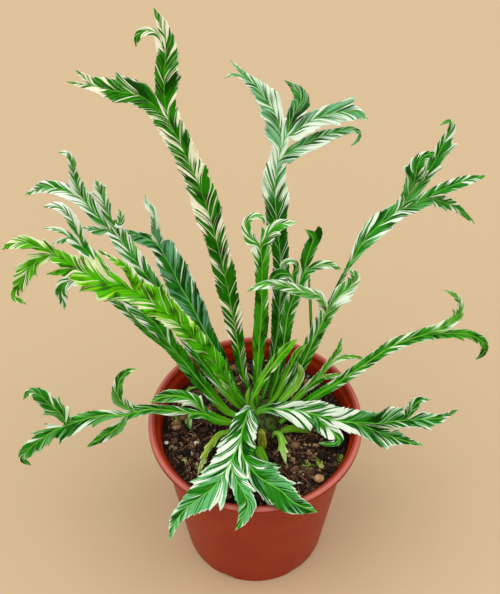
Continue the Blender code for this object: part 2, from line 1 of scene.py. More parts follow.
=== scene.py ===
"""Potted bird's nest fern: forked, crested fronds striped with cream and white, in a terracotta-coloured
plastic nursery pot.

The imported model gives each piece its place, and the surfaces here are the same shapes worked out finely.
Lengths are millimetres until MM turns them to metres. +Z is up, the viewer stands at -Y, and the origin is
on the table at the middle of the pot's underside.
"""

import itertools
import json
import math

import bpy
import numpy as np
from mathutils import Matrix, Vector

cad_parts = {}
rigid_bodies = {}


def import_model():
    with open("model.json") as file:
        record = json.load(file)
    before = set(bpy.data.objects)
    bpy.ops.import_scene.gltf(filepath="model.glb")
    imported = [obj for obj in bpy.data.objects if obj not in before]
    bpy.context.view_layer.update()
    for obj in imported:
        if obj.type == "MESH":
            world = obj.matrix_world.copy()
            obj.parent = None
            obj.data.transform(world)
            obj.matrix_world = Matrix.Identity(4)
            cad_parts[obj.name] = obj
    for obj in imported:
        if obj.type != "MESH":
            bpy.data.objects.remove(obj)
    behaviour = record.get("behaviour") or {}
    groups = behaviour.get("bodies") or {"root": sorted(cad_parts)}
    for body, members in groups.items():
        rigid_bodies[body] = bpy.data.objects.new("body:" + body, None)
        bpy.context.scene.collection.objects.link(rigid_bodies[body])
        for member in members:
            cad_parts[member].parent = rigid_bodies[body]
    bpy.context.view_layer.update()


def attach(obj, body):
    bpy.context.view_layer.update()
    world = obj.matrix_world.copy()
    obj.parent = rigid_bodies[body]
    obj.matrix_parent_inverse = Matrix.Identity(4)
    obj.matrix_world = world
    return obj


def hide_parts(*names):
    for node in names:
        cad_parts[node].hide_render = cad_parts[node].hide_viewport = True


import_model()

MM = 0.001

# Pot, as built: heights and radii
POT_HEIGHT = 109.0
RIM_RADIUS = 60.0
BASE_RADIUS = 41.0
NECK_RADIUS = 55.8
STEP_HEIGHT = 94.0
STEP_DEPTH = 0.7
LIP_HEIGHT = 4.2
LIP_INNER_RADIUS = 56.0
WALL = 1.6
FLOOR = 3.5
NOTCHES = 6
NOTCH_WIDTH = 8.5
NOTCH_HEIGHT = 2.0
NOTCH_DEPTH = 3.5
FIRST_NOTCH_DEG = 6.0

# Soil and crown
SOIL_TOP = 97.0
CROWN_CENTRE = (2.0, 7.0)
CROWN_PROFILE = [(13.0, 97.3), (12.2, 101.5), (10.2, 105.6), (7.2, 109.2), (4.0, 110.8)]

# Blades: how far the edges rise for each millimetre out from the midrib, and where the upper faces look
FOLD = 0.22
FACE = np.array([0.0, -0.65, 0.76]) / math.hypot(0.65, 0.76)

# The record's finishes for the blades
DEEP_GREEN = "blade_deep_green"
BLUE_GREEN = "blade_blue_green"
BRIGHT_GREEN = "blade_bright_green"
PALE_GREEN = "blade_pale_green"


def seg(points, left=None, right=None, web=0.0, lobes=(), tone=None):
    """A length of midrib. Each point is x, y, z, left half-width, right half-width.

    The two children fork from its end, joined by a web at least that long. Each lobe is a side (0 left,
    1 right), its distance from this length's start, its length and its height. tone is added to the shares
    of white and grey tissue from here to the tips.
    """
    return {"points": points, "kids": (left, right), "web": web, "lobes": lobes, "tone": tone}


# Fronds: each point in millimetres, half-widths as the viewer sees them with the tip away from the crown
FRONDS = {
    "frond_tall_left": (DEEP_GREEN, seg(
        [(-2, 12, 110.8, 1.2, 1.2), (-4, 10, 126, 1.6, 1.6), (-7, 9, 141, 2.2, 2.2),
         (-11, 15, 172, 4.3, 4.3), (-16, 22, 205, 5.4, 5.7), (-22, 30, 234, 6.1, 6.1),
         (-28, 37, 255, 6.5, 6.5), (-36, 43, 275, 6.4, 6.4), (-42, 48, 288, 6.3, 6.3)],
        seg([(-49, 51, 296, 5.3, 5.3), (-57, 53, 301, 5.0, 6.2), (-69, 54, 303, 4.3, 6.4),
             (-78, 54, 306, 2.6, 4.2)],
            seg([(-84, 55, 306, 1.5, 1.2), (-91, 56, 307, 0.5, 0.5)]),
            seg([(-82, 55, 310, 1.4, 2.2), (-86, 56, 314.5, 0.5, 0.5)]),
            lobes=((1, 29, 8, 3.0), (0, 20, 5, 0.9), (0, 31, 5, 0.9))),
        seg([(-44, 52, 298, 3.4, 4.8), (-44, 56, 309, 5.3, 7.6), (-43, 60, 319, 4.3, 5.7)],
            seg([(-47, 64, 329, 1.8, 1.6), (-52, 64, 331, 2.6, 2.0), (-56, 64, 328, 2.4, 1.8),
                 (-57, 62, 323, 0.5, 0.5)]),
            seg([(-43, 63, 327, 1.4, 4.2), (-45, 65, 333, 1.8, 3.8), (-48, 69, 341, 0.5, 0.5)]),
            lobes=((0, 15, 5, 1.5), (1, 24, 5, 1.2))),
        lobes=((0, 130, 6, 1.2), (1, 136, 6, 1.2), (0, 152, 6, 1.2), (1, 160, 6, 1.2)))),
    "frond_back_forked": (BLUE_GREEN, seg(
        [(4, 13, 111.0, 1.2, 1.2), (7, 14, 125, 1.7, 1.7), (9, 16, 138, 2.2, 2.2),
         (12, 22, 159, 3.3, 3.3), (13, 28, 179, 4.3, 4.3), (13, 37, 201, 4.2, 4.2),
         (11, 44, 220, 5.2, 4.7), (10, 51, 235, 6.2, 7.2), (10, 54, 243, 6.2, 5.1),
         (11, 58, 251, 5.1, 4.1)],
        seg([(13, 61, 258, 5.6, 3.0)],
            seg([(12, 66, 267, 7.6, 2.5), (10, 69, 274, 6.3, 3.5), (7, 72, 278, 5.5, 6.5),
                 (4, 73, 282, 4.5, 6.0), (0, 76, 287, 3.5, 3.0), (-5, 78, 290, 2.0, 2.5)],
                seg([(-11, 79, 292, 1.0, 1.0), (-16, 78, 290, 0.5, 0.5)]),
                seg([(-9, 80, 295, 1.0, 1.0), (-13, 82, 299, 0.5, 0.5)]),
                lobes=((1, 14, 4, 2.5), (0, 22, 4, 1.5)), tone=-0.06),
            seg([(15, 64, 263, 2.0, 2.0)],
                seg([(17, 67, 269, 2.5, 3.0), (19, 69, 274, 3.5, 3.5), (22, 72, 279, 3.5, 5.0),
                     (22, 74, 283, 4.0, 4.0), (18, 76, 287, 1.5, 1.5), (14, 77, 290, 0.5, 0.5)],
                    lobes=((1, 13, 4, 3.0), (0, 18, 3, 1.5)), tone=-0.3),
                seg([(20, 65, 266, 4.5, 5.3), (24, 67, 269, 4.5, 5.5), (32, 69, 272.5, 4.0, 4.5),
                     (42, 70, 275, 4.5, 5.0), (50, 70, 275, 3.0, 4.5), (54, 69, 273, 1.5, 1.5),
                     (57, 68, 271, 0.5, 0.5)],
                    lobes=((0, 35, 5, 3.0), (1, 28, 5, 2.0)), tone=-0.06), web=10.0), web=9.0),
        seg([(16, 60, 256, 2.5, 4.6), (22, 62, 259, 2.5, 4.6), (31, 64, 263, 3.0, 4.6),
             (40, 65, 266, 2.0, 3.0), (48, 66, 267, 1.5, 2.0), (52, 65, 266, 1.0, 1.0),
             (52, 64, 262, 1.0, 1.0), (48, 62, 259, 0.5, 0.5)], tone=-0.16))),
    "frond_curl_top": (BRIGHT_GREEN, seg(
        [(1, 7.5, 112.2, 1.2, 1.2), (0.5, 5, 127, 1.6, 1.6), (1, 4, 149, 2.2, 2.2),
         (2, 7, 171, 3.4, 3.4), (3, 9, 190, 3.6, 3.6), (3, 12, 210, 2.8, 2.8),
         (3, 14, 225, 3.8, 3.8), (2, 16, 234, 5.2, 5.0)],
        seg([(-2.5, 17, 239, 3.0, 2.6), (-4.6, 18, 245, 2.4, 2.2), (-4, 19, 250, 2.2, 1.9),
             (-0.5, 19, 252.6, 1.9, 1.6), (2.9, 19, 251, 1.5, 1.2), (4, 18.5, 247, 0.5, 0.5)]),
        seg([(5, 17, 240, 2.8, 3.4), (8, 18, 245, 2.4, 3.8), (13, 18, 248.5, 2.4, 3.0),
             (20.5, 18, 249, 0.5, 0.5)], lobes=((0, 9, 3, 2.0), (1, 14, 4, 1.4))), web=3.0)),
    "frond_dark_broad": (DEEP_GREEN, seg(
        [(-6, 14, 105.8, 1.2, 1.2), (-10, 17, 111, 1.6, 1.6), (-15, 21, 120, 2.8, 2.8),
         (-22, 26, 138, 3.9, 3.9), (-28, 31, 149, 5.0, 5.0), (-34, 36, 162, 6.6, 6.6),
         (-39, 41, 170, 6.6, 6.8), (-42, 44, 175, 6.5, 7.1), (-45, 47, 182, 6.5, 7.2),
         (-48, 49, 188, 5.9, 7.5), (-51, 52, 193, 4.3, 7.2)],
        seg([(-57, 57, 195, 4.3, 2.7), (-64, 63, 192, 3.8, 2.2), (-74, 72, 187, 0.6, 0.6)]),
        seg([(-52.5, 53.5, 196, 2.7, 6.0), (-53, 54, 203, 2.7, 2.4), (-53, 54, 212, 2.6, 2.1),
             (-54, 55, 219, 2.1, 2.1), (-57, 57, 223, 2.1, 1.6), (-58, 58, 229, 0.5, 0.5)], tone=0.32))),
    "frond_left_high": (BLUE_GREEN, seg(
        [(-8.5, 10.5, 105.3, 1.2, 1.2), (-15, 13.5, 112, 1.8, 1.8), (-24, 19, 124, 2.8, 2.8),
         (-36, 26, 143, 3.3, 3.3), (-47, 33, 169, 3.8, 3.8), (-57, 38, 184, 4.3, 4.3),
         (-66, 43, 198, 4.8, 4.8), (-71, 46, 206, 4.8, 4.8)],
        seg([(-76, 49, 210, 2.6, 2.6)],
            seg([(-84, 54, 206.5, 3.2, 2.1), (-94, 60, 201, 0.5, 0.5)]),
            seg([(-82, 52, 217, 3.7, 3.7), (-89, 57, 223, 4.2, 4.2)],
                seg([(-99, 63, 225.5, 3.7, 3.7), (-112, 70, 222, 3.4, 3.4), (-125, 77, 209, 0.5, 0.5)]),
                seg([(-93, 59, 232, 3.6, 4.2), (-94, 60, 241, 2.6, 2.6), (-94, 59, 251, 2.0, 2.0),
                     (-96, 60, 256, 1.4, 1.4), (-101, 63, 254, 0.5, 0.5)]))),
        seg([(-75, 49, 218, 2.6, 2.6)],
            seg([(-78, 50, 228, 3.1, 3.1), (-80, 51, 236, 3.1, 3.1), (-82, 52, 245, 1.8, 3.0)],
                lobes=((0, 20, 4, 2.5), (1, 22, 3, 2.0))),
            seg([(-71, 46, 219, 2.6, 2.1), (-70, 46, 225, 2.6, 2.1), (-71, 46, 230, 0.5, 0.5)])))),
    "frond_left_twin": (DEEP_GREEN, seg(
        [(-9.5, 6, 104.2, 1.2, 1.2), (-17, 8, 107, 2.2, 2.2), (-30, 13, 125, 3.3, 3.3),
         (-39, 17, 139, 3.9, 3.9)],
        seg([(-49, 20, 149, 1.6, 1.6), (-60, 23, 160, 1.9, 1.9), (-71, 26, 174, 2.1, 2.1),
             (-83, 30, 185, 2.1, 2.1), (-95, 34, 188, 2.1, 2.1), (-102, 36, 183, 4.3, 3.2),
             (-105, 37, 175, 3.8, 4.0), (-105, 37, 167, 2.2, 2.2), (-105, 37, 160, 0.5, 0.5)],
            lobes=((1, 82, 6, 3.5), (0, 78, 4, 1.5))),
        seg([(-48, 19, 155, 4.2, 4.2), (-53, 21, 166, 5.2, 5.2), (-61, 23, 175, 4.3, 4.3),
             (-72, 27, 190, 3.2, 3.2), (-81, 29, 205, 3.1, 3.1), (-89, 32, 215, 3.1, 3.1)],
            seg([(-95, 33, 222, 2.6, 2.1)],
                seg([(-99, 35, 219, 2.1, 1.5), (-106, 37, 213, 0.5, 0.5)]),
                seg([(-101, 35, 226, 1.5, 1.5), (-110, 38, 224, 0.5, 0.5)])),
            seg([(-92, 33, 231, 3.0, 3.0), (-95, 34, 238, 2.5, 3.0), (-100, 35, 243, 2.0, 2.5),
                 (-108, 38, 240, 0.5, 0.5)])))),
    "frond_left_bright": (BRIGHT_GREEN, seg(
        [(-6, 7.5, 109.2, 1.2, 1.2), (-10, 5.5, 119, 1.7, 1.7), (-14, 4, 134, 2.7, 2.7),
         (-23, 3, 160, 4.3, 4.3), (-33, 3, 179, 4.7, 4.7), (-43, 2, 195, 5.7, 5.7),
         (-53, 2, 208, 6.1, 7.1), (-61, 2, 215.5, 5.8, 7.5)],
        seg([(-69, 2, 221, 5.5, 8.5), (-76, 1, 224.5, 6.0, 9.6), (-82, 1, 228.5, 6.4, 8.4),
             (-88, 1, 234, 5.9, 6.4)],
            seg([(-94, 1, 232.5, 2.5, 2.0), (-104, 0, 231, 0.5, 0.5)]),
            seg([(-93, 1, 239.5, 3.9, 4.4), (-98, 1, 244, 3.4, 2.9)],
                seg([(-104, 0, 243, 2.4, 2.9), (-110, 0, 238, 3.9, 3.9), (-115, 0, 229, 3.5, 4.0),
                     (-119, 0, 221, 3.0, 3.0), (-121, 0, 214, 2.0, 2.0), (-116, 0, 208, 0.5, 0.5)],
                    lobes=((1, 10, 4, 1.6), (0, 15, 4, 2.0), (1, 21, 4, 1.6)), tone=-0.06),
                seg([(-105, 0, 251, 1.9, 2.9), (-111, 0, 254, 2.9, 3.4), (-118, 0, 253, 2.4, 1.9),
                     (-123, 0, 249, 0.5, 0.5)], lobes=((1, 8, 4, 1.6),), tone=-0.04)),
            lobes=((1, 24, 5, 4.5), (1, 13, 5, 1.8), (0, 8, 6, 4.5), (0, 17, 5, 2.5), (0, 25, 5, 2.0))),
        seg([(-63, 2, 232, 2.5, 2.0), (-70, 1, 241, 1.5, 1.5), (-77, 1, 248, 0.5, 0.5)]),
        lobes=((0, 108, 6, 1.5), (1, 112, 6, 1.5)))),
    "frond_small_leaning": (BRIGHT_GREEN, seg(
        [(-0.5, 4.3, 111.2, 1.1, 1.1), (-2, 0.5, 123, 1.2, 1.2), (-1, -2, 134, 1.5, 1.5),
         (4, -1, 148, 2.2, 2.2), (11, 1, 161, 2.7, 2.7), (17, 2, 171, 2.4, 2.4),
         (22, 3, 177, 0.5, 0.5)])),
    "frond_crozier": (DEEP_GREEN, seg(
        [(8, 10.5, 110.2, 1.2, 1.2), (10, 11.5, 122, 1.6, 1.6), (12, 11.5, 133, 2.1, 2.1),
         (15, 12, 160, 2.7, 2.7), (17, 17, 180, 3.4, 3.4), (21, 20, 195, 3.6, 3.6)],
        seg([(19, 23, 203, 2.6, 2.6)],
            seg([(14, 23, 206, 3.0, 2.6), (10, 23, 204, 3.0, 2.6), (6, 22, 197, 0.5, 0.5)], tone=-0.15),
            seg([(21, 24, 209, 1.7, 1.7), (20, 24, 213, 1.6, 1.6), (17, 23.5, 215, 1.5, 1.5),
                 (14, 23, 213.5, 1.3, 1.3), (13.8, 23, 210.5, 1.0, 1.0), (16, 23, 209.5, 0.4, 0.4)])),
        seg([(25, 23, 206, 3.0, 3.0)],
            seg([(26, 25, 214, 3.2, 2.8), (28, 27, 221, 3.2, 3.2), (29, 29, 227, 2.6, 2.9),
                 (25, 30, 232, 0.5, 0.5)], lobes=((1, 23, 4, 3.0),), tone=-0.2),
            seg([(31, 27, 207, 2.4, 2.4), (38, 29, 206, 2.3, 2.3), (45, 30, 201, 0.5, 0.5)])))),
    "frond_loop": (BLUE_GREEN, seg(
        [(12, 10, 107.0, 1.2, 1.2), (16, 11, 120, 1.5, 1.5), (24, 14, 135, 2.4, 2.4),
         (31, 17, 157, 4.0, 3.6), (38, 20, 178, 4.4, 3.8)],
        seg([(34, 18, 193, 2.8, 2.4), (25, 14, 202, 3.0, 2.5), (12, 10, 212, 2.8, 2.3),
             (3, 7, 215, 2.2, 2.0), (-5, 5, 212, 0.5, 0.5)]),
        seg([(43, 22, 187, 4.2, 4.2), (49, 25, 192, 4.4, 3.6), (52, 26, 200, 3.6, 2.6),
             (48, 24, 208.5, 0.5, 0.5)], lobes=((1, 14, 4, 1.6),)))),
    "frond_right_high": (BLUE_GREEN, seg(
        [(10, 14, 106.7, 1.2, 1.2), (13, 15, 118, 1.4, 1.4), (19, 17.5, 132, 1.4, 1.4),
         (31, 25, 151, 1.5, 1.5)],
        seg([(30, 27, 165, 0.8, 0.8), (29, 29, 182, 0.8, 0.8), (28, 31, 198, 0.5, 0.5)]),
        seg([(39, 31, 169, 1.4, 1.4), (48, 37, 192, 1.3, 1.3), (51, 39, 198, 1.5, 1.5),
             (58, 45, 209, 4.7, 4.7), (68, 52, 215, 5.6, 5.6), (75, 57, 217, 4.8, 4.8)],
            seg([(79, 60, 222, 3.6, 3.0)],
                seg([(81, 61, 230, 3.6, 4.0), (83, 62, 238, 4.8, 4.8), (83, 62, 245, 4.6, 4.4),
                     (86, 64, 250, 2.4, 2.4), (91, 67, 249, 1.2, 1.2), (93, 68, 246, 0.6, 0.6)],
                    lobes=((0, 22, 4, 2.0), (1, 20, 3, 1.5))),
                seg([(86, 65, 229, 3.6, 3.2), (92, 69, 239, 3.4, 3.4), (97, 73, 250, 2.8, 3.6),
                     (100, 75, 259, 1.8, 2.6), (98, 73, 266, 1.2, 1.2), (93, 69, 267, 0.5, 0.5)],
                    lobes=((1, 37, 6, 3.0), (1, 24, 4, 1.5))), web=7.0),
            seg([(84, 63, 216, 3.2, 4.3), (92, 69, 215, 3.2, 4.3)],
                seg([(102, 77, 214, 3.2, 3.2), (114, 85, 212, 2.7, 3.3), (127, 95, 206, 0.6, 0.6)]),
                seg([(101, 76, 205, 3.6, 3.3), (112, 84, 191, 2.6, 2.2), (125, 93, 170, 0.6, 0.6)],
                    lobes=((1, 20, 4, 1.5),)))))),
    "frond_small_upright": (BRIGHT_GREEN, seg(
        [(6, 6.5, 111.6, 1.1, 1.1), (12, 7.8, 121, 1.4, 1.4), (18, 11, 139, 2.1, 2.1),
         (23, 13.5, 152, 2.0, 2.0), (28, 14.5, 158, 0.5, 0.5)])),
    "frond_small_curled": (PALE_GREEN, seg(
        [(9.5, 3.5, 109.3, 1.1, 1.1), (15, 6, 119, 1.8, 1.8), (22, 9, 128, 2.4, 2.4),
         (25, 10, 138, 2.0, 2.0), (23, 9, 149, 0.5, 0.5)])),
    "frond_small_forked": (BRIGHT_GREEN, seg(
        [(12.5, 6, 106.6, 1.1, 1.1), (19, 10, 108, 1.5, 1.5), (28, 18, 112, 2.1, 2.1),
         (37, 22, 120, 2.6, 2.6)],
        seg([(41, 25, 126, 2.2, 1.7)],
            seg([(46, 27, 135, 2.2, 2.2), (48, 29, 146, 0.6, 0.6)]),
            seg([(51, 30, 127, 1.7, 1.7), (63, 36, 118, 0.6, 0.6)])),
        seg([(43, 25, 116, 1.7, 1.7), (51, 29, 113, 0.6, 0.6)]))),
    "frond_right_low": (BRIGHT_GREEN, seg(
        [(13.8, 1.8, 102.8, 1.2, 1.2), (20, 6, 106, 1.6, 1.6), (31, 11, 113, 2.2, 2.2),
         (45, 15, 122, 2.7, 2.7), (59, 18, 134, 3.1, 3.1), (74, 22, 146, 3.3, 3.3),
         (86, 25, 150, 3.3, 3.3), (93, 27, 151, 3.3, 3.3)],
        seg([(103, 29, 155, 3.0, 3.0), (110, 31, 161, 2.5, 2.5), (111, 31, 170, 2.0, 2.0),
             (107, 30, 180, 1.6, 1.6), (100, 29, 186, 0.5, 0.5)], lobes=((0, 24, 4, 2.5),), tone=0.16),
        seg([(106, 30, 148, 2.2, 2.4), (118, 33, 144, 2.4, 2.4), (128, 35, 134, 2.6, 2.6),
             (130, 36, 124, 1.7, 2.2), (126, 35, 118, 0.6, 0.6)], lobes=((1, 22, 4, 2.0),)))),
    "frond_front": (BLUE_GREEN, seg(
        [(-3, 1, 109.6, 1.4, 1.4), (-3.5, 1.5, 115.5, 2.4, 2.4), (-5, -5, 118.5, 6.0, 5.2),
         (-7, -14, 120, 6.4, 6.0), (-8, -20, 120, 7.1, 6.8)],
        seg([(-7, -31, 119, 7.6, 5.0), (-4, -36, 118, 7.0, 6.0), (1, -43, 117, 7.8, 7.0),
             (8, -48, 116.5, 7.5, 7.5), (14, -52, 115.5, 5.0, 7.5), (19, -57, 114.5, 5.1, 6.4),
             (26, -60, 112.5, 3.2, 3.2), (33, -61, 109.5, 0.5, 0.5)],
            lobes=((0, 23, 6, 6.0), (0, 32, 5, 2.5), (0, 42, 4, 2.0), (1, 38, 6, 1.5)), tone=-0.08),
        seg([(-11, -29, 119, 4.3, 9.2), (-13, -34, 118.5, 4.9, 9.7)],
            seg([(-12, -42, 118, 7.0, 4.0), (-9, -48, 117.5, 5.9, 5.0), (-6, -54, 116.5, 3.8, 5.9),
                 (-4, -60, 115, 4.3, 5.9), (-7, -66, 111, 3.2, 2.2), (-11, -71, 107, 0.5, 0.5)],
                lobes=((0, 21, 4, 2.5),), tone=0.02),
            seg([(-18, -43, 117, 7.0, 10.2), (-22, -49, 116, 7.5, 9.2), (-29, -54, 113.5, 7.6, 8.1),
                 (-37, -59, 109.5, 3.5, 4.9), (-43, -64, 104, 2.7, 2.7), (-46, -71, 97, 0.5, 0.5)],
                lobes=((0, 19, 6, 4.0), (1, 14, 5, 1.8), (1, 24, 5, 1.8)), tone=0.06), web=12.0), web=22.0)),
    "frond_right_front": (BLUE_GREEN, seg(
        [(0, 2.5, 111.0, 1.4, 1.4), (4, 3, 114.2, 1.8, 2.2), (11, 2, 116.4, 2.8, 3.9),
         (18, 1, 117, 4.2, 5.6), (25, 0, 117, 5.6, 8.6), (32, -1, 115.5, 7.2, 9.5)],
        seg([(39, -2, 113.5, 7.8, 5.6), (46, -4, 113, 7.8, 4.5), (54, -5, 113, 6.7, 5.6)],
            seg([(61, -6, 114, 5.5, 6.7), (69, -8, 116, 6.9, 7.7), (77, -9, 120, 7.1, 4.4),
                 (82, -10, 122, 4.9, 4.4)],
                seg([(85, -11, 135, 3.2, 2.7), (88, -11, 141, 2.7, 2.1), (94, -12, 144, 0.5, 0.5)]),
                seg([(86, -11, 124, 3.8, 4.4), (91, -12, 126, 3.8, 4.4), (99, -13, 128, 2.2, 3.3),
                     (104, -14, 133, 1.6, 1.6), (109, -15, 139, 0.5, 0.5)], lobes=((1, 13, 4, 1.6),)),
                web=3.0),
            seg([(61, -6, 111, 4.4, 5.6), (70, -8, 107, 5.0, 6.7), (78, -9, 104, 3.9, 4.2),
                 (85, -11, 103, 2.2, 1.7), (94, -12, 101, 0.6, 0.6)],
                lobes=((0, 23, 5, 3.0), (1, 22, 5, 1.8))), web=22.0),
        seg([(37, -3, 110.5, 4.5, 5.0), (42, -7, 108.5, 5.1, 4.5), (46, -11, 106, 3.4, 3.4),
             (44, -13, 104, 1.6, 1.6), (40, -13, 103.5, 1.3, 1.3), (35, -12, 103, 0.6, 0.6)]),
        web=12.0)),
    "frond_left_low": (BRIGHT_GREEN, seg(
        [(-8.5, 1, 102.8, 1.2, 1.2), (-14, 0, 106, 1.7, 1.7), (-21, -1, 110, 2.7, 2.7),
         (-28, -1, 115.5, 2.8, 2.8)],
        seg([(-36, -2.5, 118, 2.7, 2.7)],
            seg([(-37, -4, 112, 1.6, 1.6), (-36, -5, 106, 0.5, 0.5)]),
            seg([(-46, -3, 121, 2.8, 2.8), (-57, -4, 124, 2.5, 2.5), (-66, -6, 124, 2.7, 3.8)],
                seg([(-71, -6, 121, 2.4, 2.4)],
                    seg([(-77, -7, 111, 3.3, 3.3), (-85, -8, 103.5, 2.8, 2.8), (-95, -10, 96, 0.6, 0.6)]),
                    seg([(-83, -8, 124, 3.3, 2.7), (-93, -9, 122, 4.4, 3.3), (-103, -11, 119, 6.0, 3.3)],
                        seg([(-112, -12, 114, 3.6, 3.6), (-119, -13, 108, 4.6, 4.2),
                             (-127, -14, 99, 3.6, 3.6), (-131, -15, 92, 2.0, 2.0),
                             (-127, -14, 84, 0.6, 0.6)],
                            lobes=((1, 9, 5, 3.0), (1, 18, 4, 3.0), (0, 5, 4, 2.5), (0, 15, 4, 2.0),
                                   (0, 24, 4, 1.5))),
                        seg([(-106, -11, 130, 3.8, 4.3), (-110, -12, 138, 4.3, 4.3),
                             (-115, -12, 147, 3.7, 4.3), (-120, -13, 152, 2.1, 1.6),
                             (-124, -14, 146, 0.5, 0.5)],
                            lobes=((1, 12, 4, 2.0), (1, 20, 4, 2.5), (0, 20, 4, 2.0))), web=4.0,
                        lobes=((0, 18, 6, 2.0),))),
                seg([(-73, -7, 136, 3.8, 3.0), (-74, -7, 145, 3.2, 2.7), (-72, -6, 154, 2.7, 2.1),
                     (-68, -6, 160, 1.9, 1.6), (-63, -5, 162, 0.5, 0.5)]))),
        seg([(-34, -1, 127, 2.7, 3.8), (-41, -2, 133, 3.8, 3.8), (-49, -3, 134.5, 3.8, 3.3),
             (-58, -4, 130.5, 0.5, 0.5)], lobes=((1, 12, 4, 1.6), (0, 18, 4, 1.8))))),
    "leaf_speckled": (PALE_GREEN, seg(
        [(-8, -4.5, 98.0, 0.8, 0.8), (-13, -5, 102.5, 1.2, 1.2), (-20, -7, 104, 1.7, 1.7),
         (-26, -16, 104, 1.6, 1.6), (-29, -24, 103, 1.3, 1.3), (-32, -33, 101, 0.5, 0.5)],
        lobes=((0, 22, 4, 0.9), (1, 26, 4, 0.8), (1, 32, 4, 0.9), (0, 34, 4, 0.8)))),
    "leaf_pale": (PALE_GREEN, seg(
        [(9.5, -5, 98.6, 0.8, 0.8), (11, -5, 102.5, 1.3, 1.3), (14, -8, 104, 1.8, 1.8),
         (15, -16, 103, 1.9, 1.6), (17, -25, 101, 0.6, 0.6)],
        lobes=((0, 13, 3, 1.6), (1, 17, 3, 1.2), (0, 19, 3, 1.2)))),
    "leaf_olive": (DEEP_GREEN, seg(
        [(13.5, -2.5, 98.6, 1.0, 1.0), (16, -2.5, 101.5, 1.5, 1.5), (21, -2, 103, 2.0, 2.0),
         (26, -2, 102, 2.0, 2.0), (31, -3, 100, 0.6, 0.6)])),
    "leaf_small_front": (DEEP_GREEN, seg(
        [(1.5, -13.5, 98.3, 1.2, 1.2), (2, -15, 101.5, 2.2, 2.2), (3.5, -20, 102, 2.6, 2.6),
         (5.5, -24.5, 101.5, 2.2, 2.2), (8, -30, 100, 0.5, 0.5)])),
    "leaf_young": (PALE_GREEN, seg(
        [(-4, 6.5, 110.7, 1.0, 1.0), (-4.5, 4.2, 119, 1.1, 1.1), (-4.5, 3, 127, 1.2, 1.2),
         (-3.5, 2.5, 135, 0.5, 0.5)])),
}


def unit(vectors):
    """Vectors of length 1 along the given ones."""
    return vectors / np.maximum(np.linalg.norm(vectors, axis=-1, keepdims=True), 1e-9)


def ease(x, low, high):
    """Smooth step from 0 at low to 1 at high."""
    t = np.clip((x - low) / (high - low), 0.0, 1.0)
    return t * t * (3.0 - 2.0 * t)


def waver(x, seed):
    """Value noise on a line, -1 to 1: random heights at the whole numbers, joined by smooth steps."""
    heights = np.random.default_rng(seed).uniform(-1.0, 1.0, 1024)
    cell = np.floor(x).astype(int)
    t = ease(x - cell, 0.0, 1.0)
    return heights[cell % 1024] * (1.0 - t) + heights[(cell + 1) % 1024] * t


def lumps(points, size, seed):
    """Value noise in space, -1 to 1: random heights at the corners of cubes of that size, joined smoothly."""
    scaled = points / size
    cell = np.floor(scaled)
    t = ease(scaled - cell, 0.0, 1.0)
    total = np.zeros(points.shape[:-1])
    for corner in itertools.product((0, 1), repeat=3):
        chance = np.sin((cell + corner) @ np.array([12.71, 31.17, 7.47]) + seed) * 4375.85
        height = 2.0 * (chance - np.floor(chance)) - 1.0
        total += height * np.prod(np.where(corner, t, 1.0 - t), axis=-1)
    return total


def grid_faces(rows, columns, wrap=False):
    """Four-cornered faces of a grid of points; wrap joins the last column to the first."""
    i = np.arange(rows - 1)[:, None]
    j = np.arange(columns if wrap else columns - 1)[None, :]
    k = (j + 1) % columns
    corners = [i * columns + j, i * columns + k, (i + 1) * columns + k, (i + 1) * columns + j]
    return np.stack(corners, axis=-1).reshape(-1, 4)


def weld(points, faces):
    """Joins points that share a place, and splits faces into triangles without those of no width.

    Returns the joined points, the triangles among them, and the same triangles among the points given.
    """
    _, first, same = np.unique(np.round(points, 5), axis=0, return_index=True, return_inverse=True)
    same = same.reshape(-1)
    given = np.concatenate([faces[:, [0, 1, 2]], faces[:, [0, 2, 3]]])
    joined = same[given]
    wide = (joined[:, 0] != joined[:, 1]) & (joined[:, 1] != joined[:, 2]) & (joined[:, 2] != joined[:, 0])
    return points[first], joined[wide], given[wide]


def add_piece(name, points, faces, shade, replaced=None, smooth=True):
    """A mesh object from millimetre points and an array of faces, riding on the one body."""
    mesh = bpy.data.meshes.new(name)
    sides = faces.shape[1]
    mesh.vertices.add(len(points))
    mesh.vertices.foreach_set("co", (points * MM).ravel())
    mesh.loops.add(faces.size)
    mesh.loops.foreach_set("vertex_index", faces.ravel().astype(np.int32))
    mesh.polygons.add(len(faces))
    mesh.polygons.foreach_set("loop_start", np.arange(len(faces), dtype=np.int32) * sides)
    mesh.polygons.foreach_set("use_smooth", np.full(len(faces), smooth))
    mesh.update(calc_edges=True)
    mesh.materials.append(shade)
    piece = bpy.data.objects.new(name, mesh)
    bpy.context.collection.objects.link(piece)
    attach(piece, "root")
    if replaced:
        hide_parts(replaced)
    return piece


def mark(piece, name, values):
    """Gives each point of a piece a number that its material reads."""
    layer = piece.data.attributes.new(name, "FLOAT", "POINT")
    layer.data.foreach_set("value", np.asarray(values, np.float32))


# Blades of the fronds

ROW = 0.8
COLUMNS = np.array([0.0, 0.06, 0.14, 0.26, 0.39, 0.52, 0.66, 0.79, 0.9, 1.0])
HALF = len(COLUMNS)
LEAD = 12
SMOOTH_SPAN = 24
RUFFLE_LENGTH = 15.0
TOOTH_LENGTH = 3.3
TOOTH_DEPTH = 1.3
TOOTH_LEAN = 1.2
LOBE_LENGTH = 9.0
LOBE_DEPTH = 0.13
TIP_TAPER = 4.0
BEND_ROOM = 0.85
WEB_BLEND = 4.0
TONE_BLEND = 10.0
EDGE_HALF_THICKNESS = 0.14
BLADE_HALF_THICKNESS = 0.24
STALK_HALF_THICKNESS = 0.5
STALK_FADE = 26.0


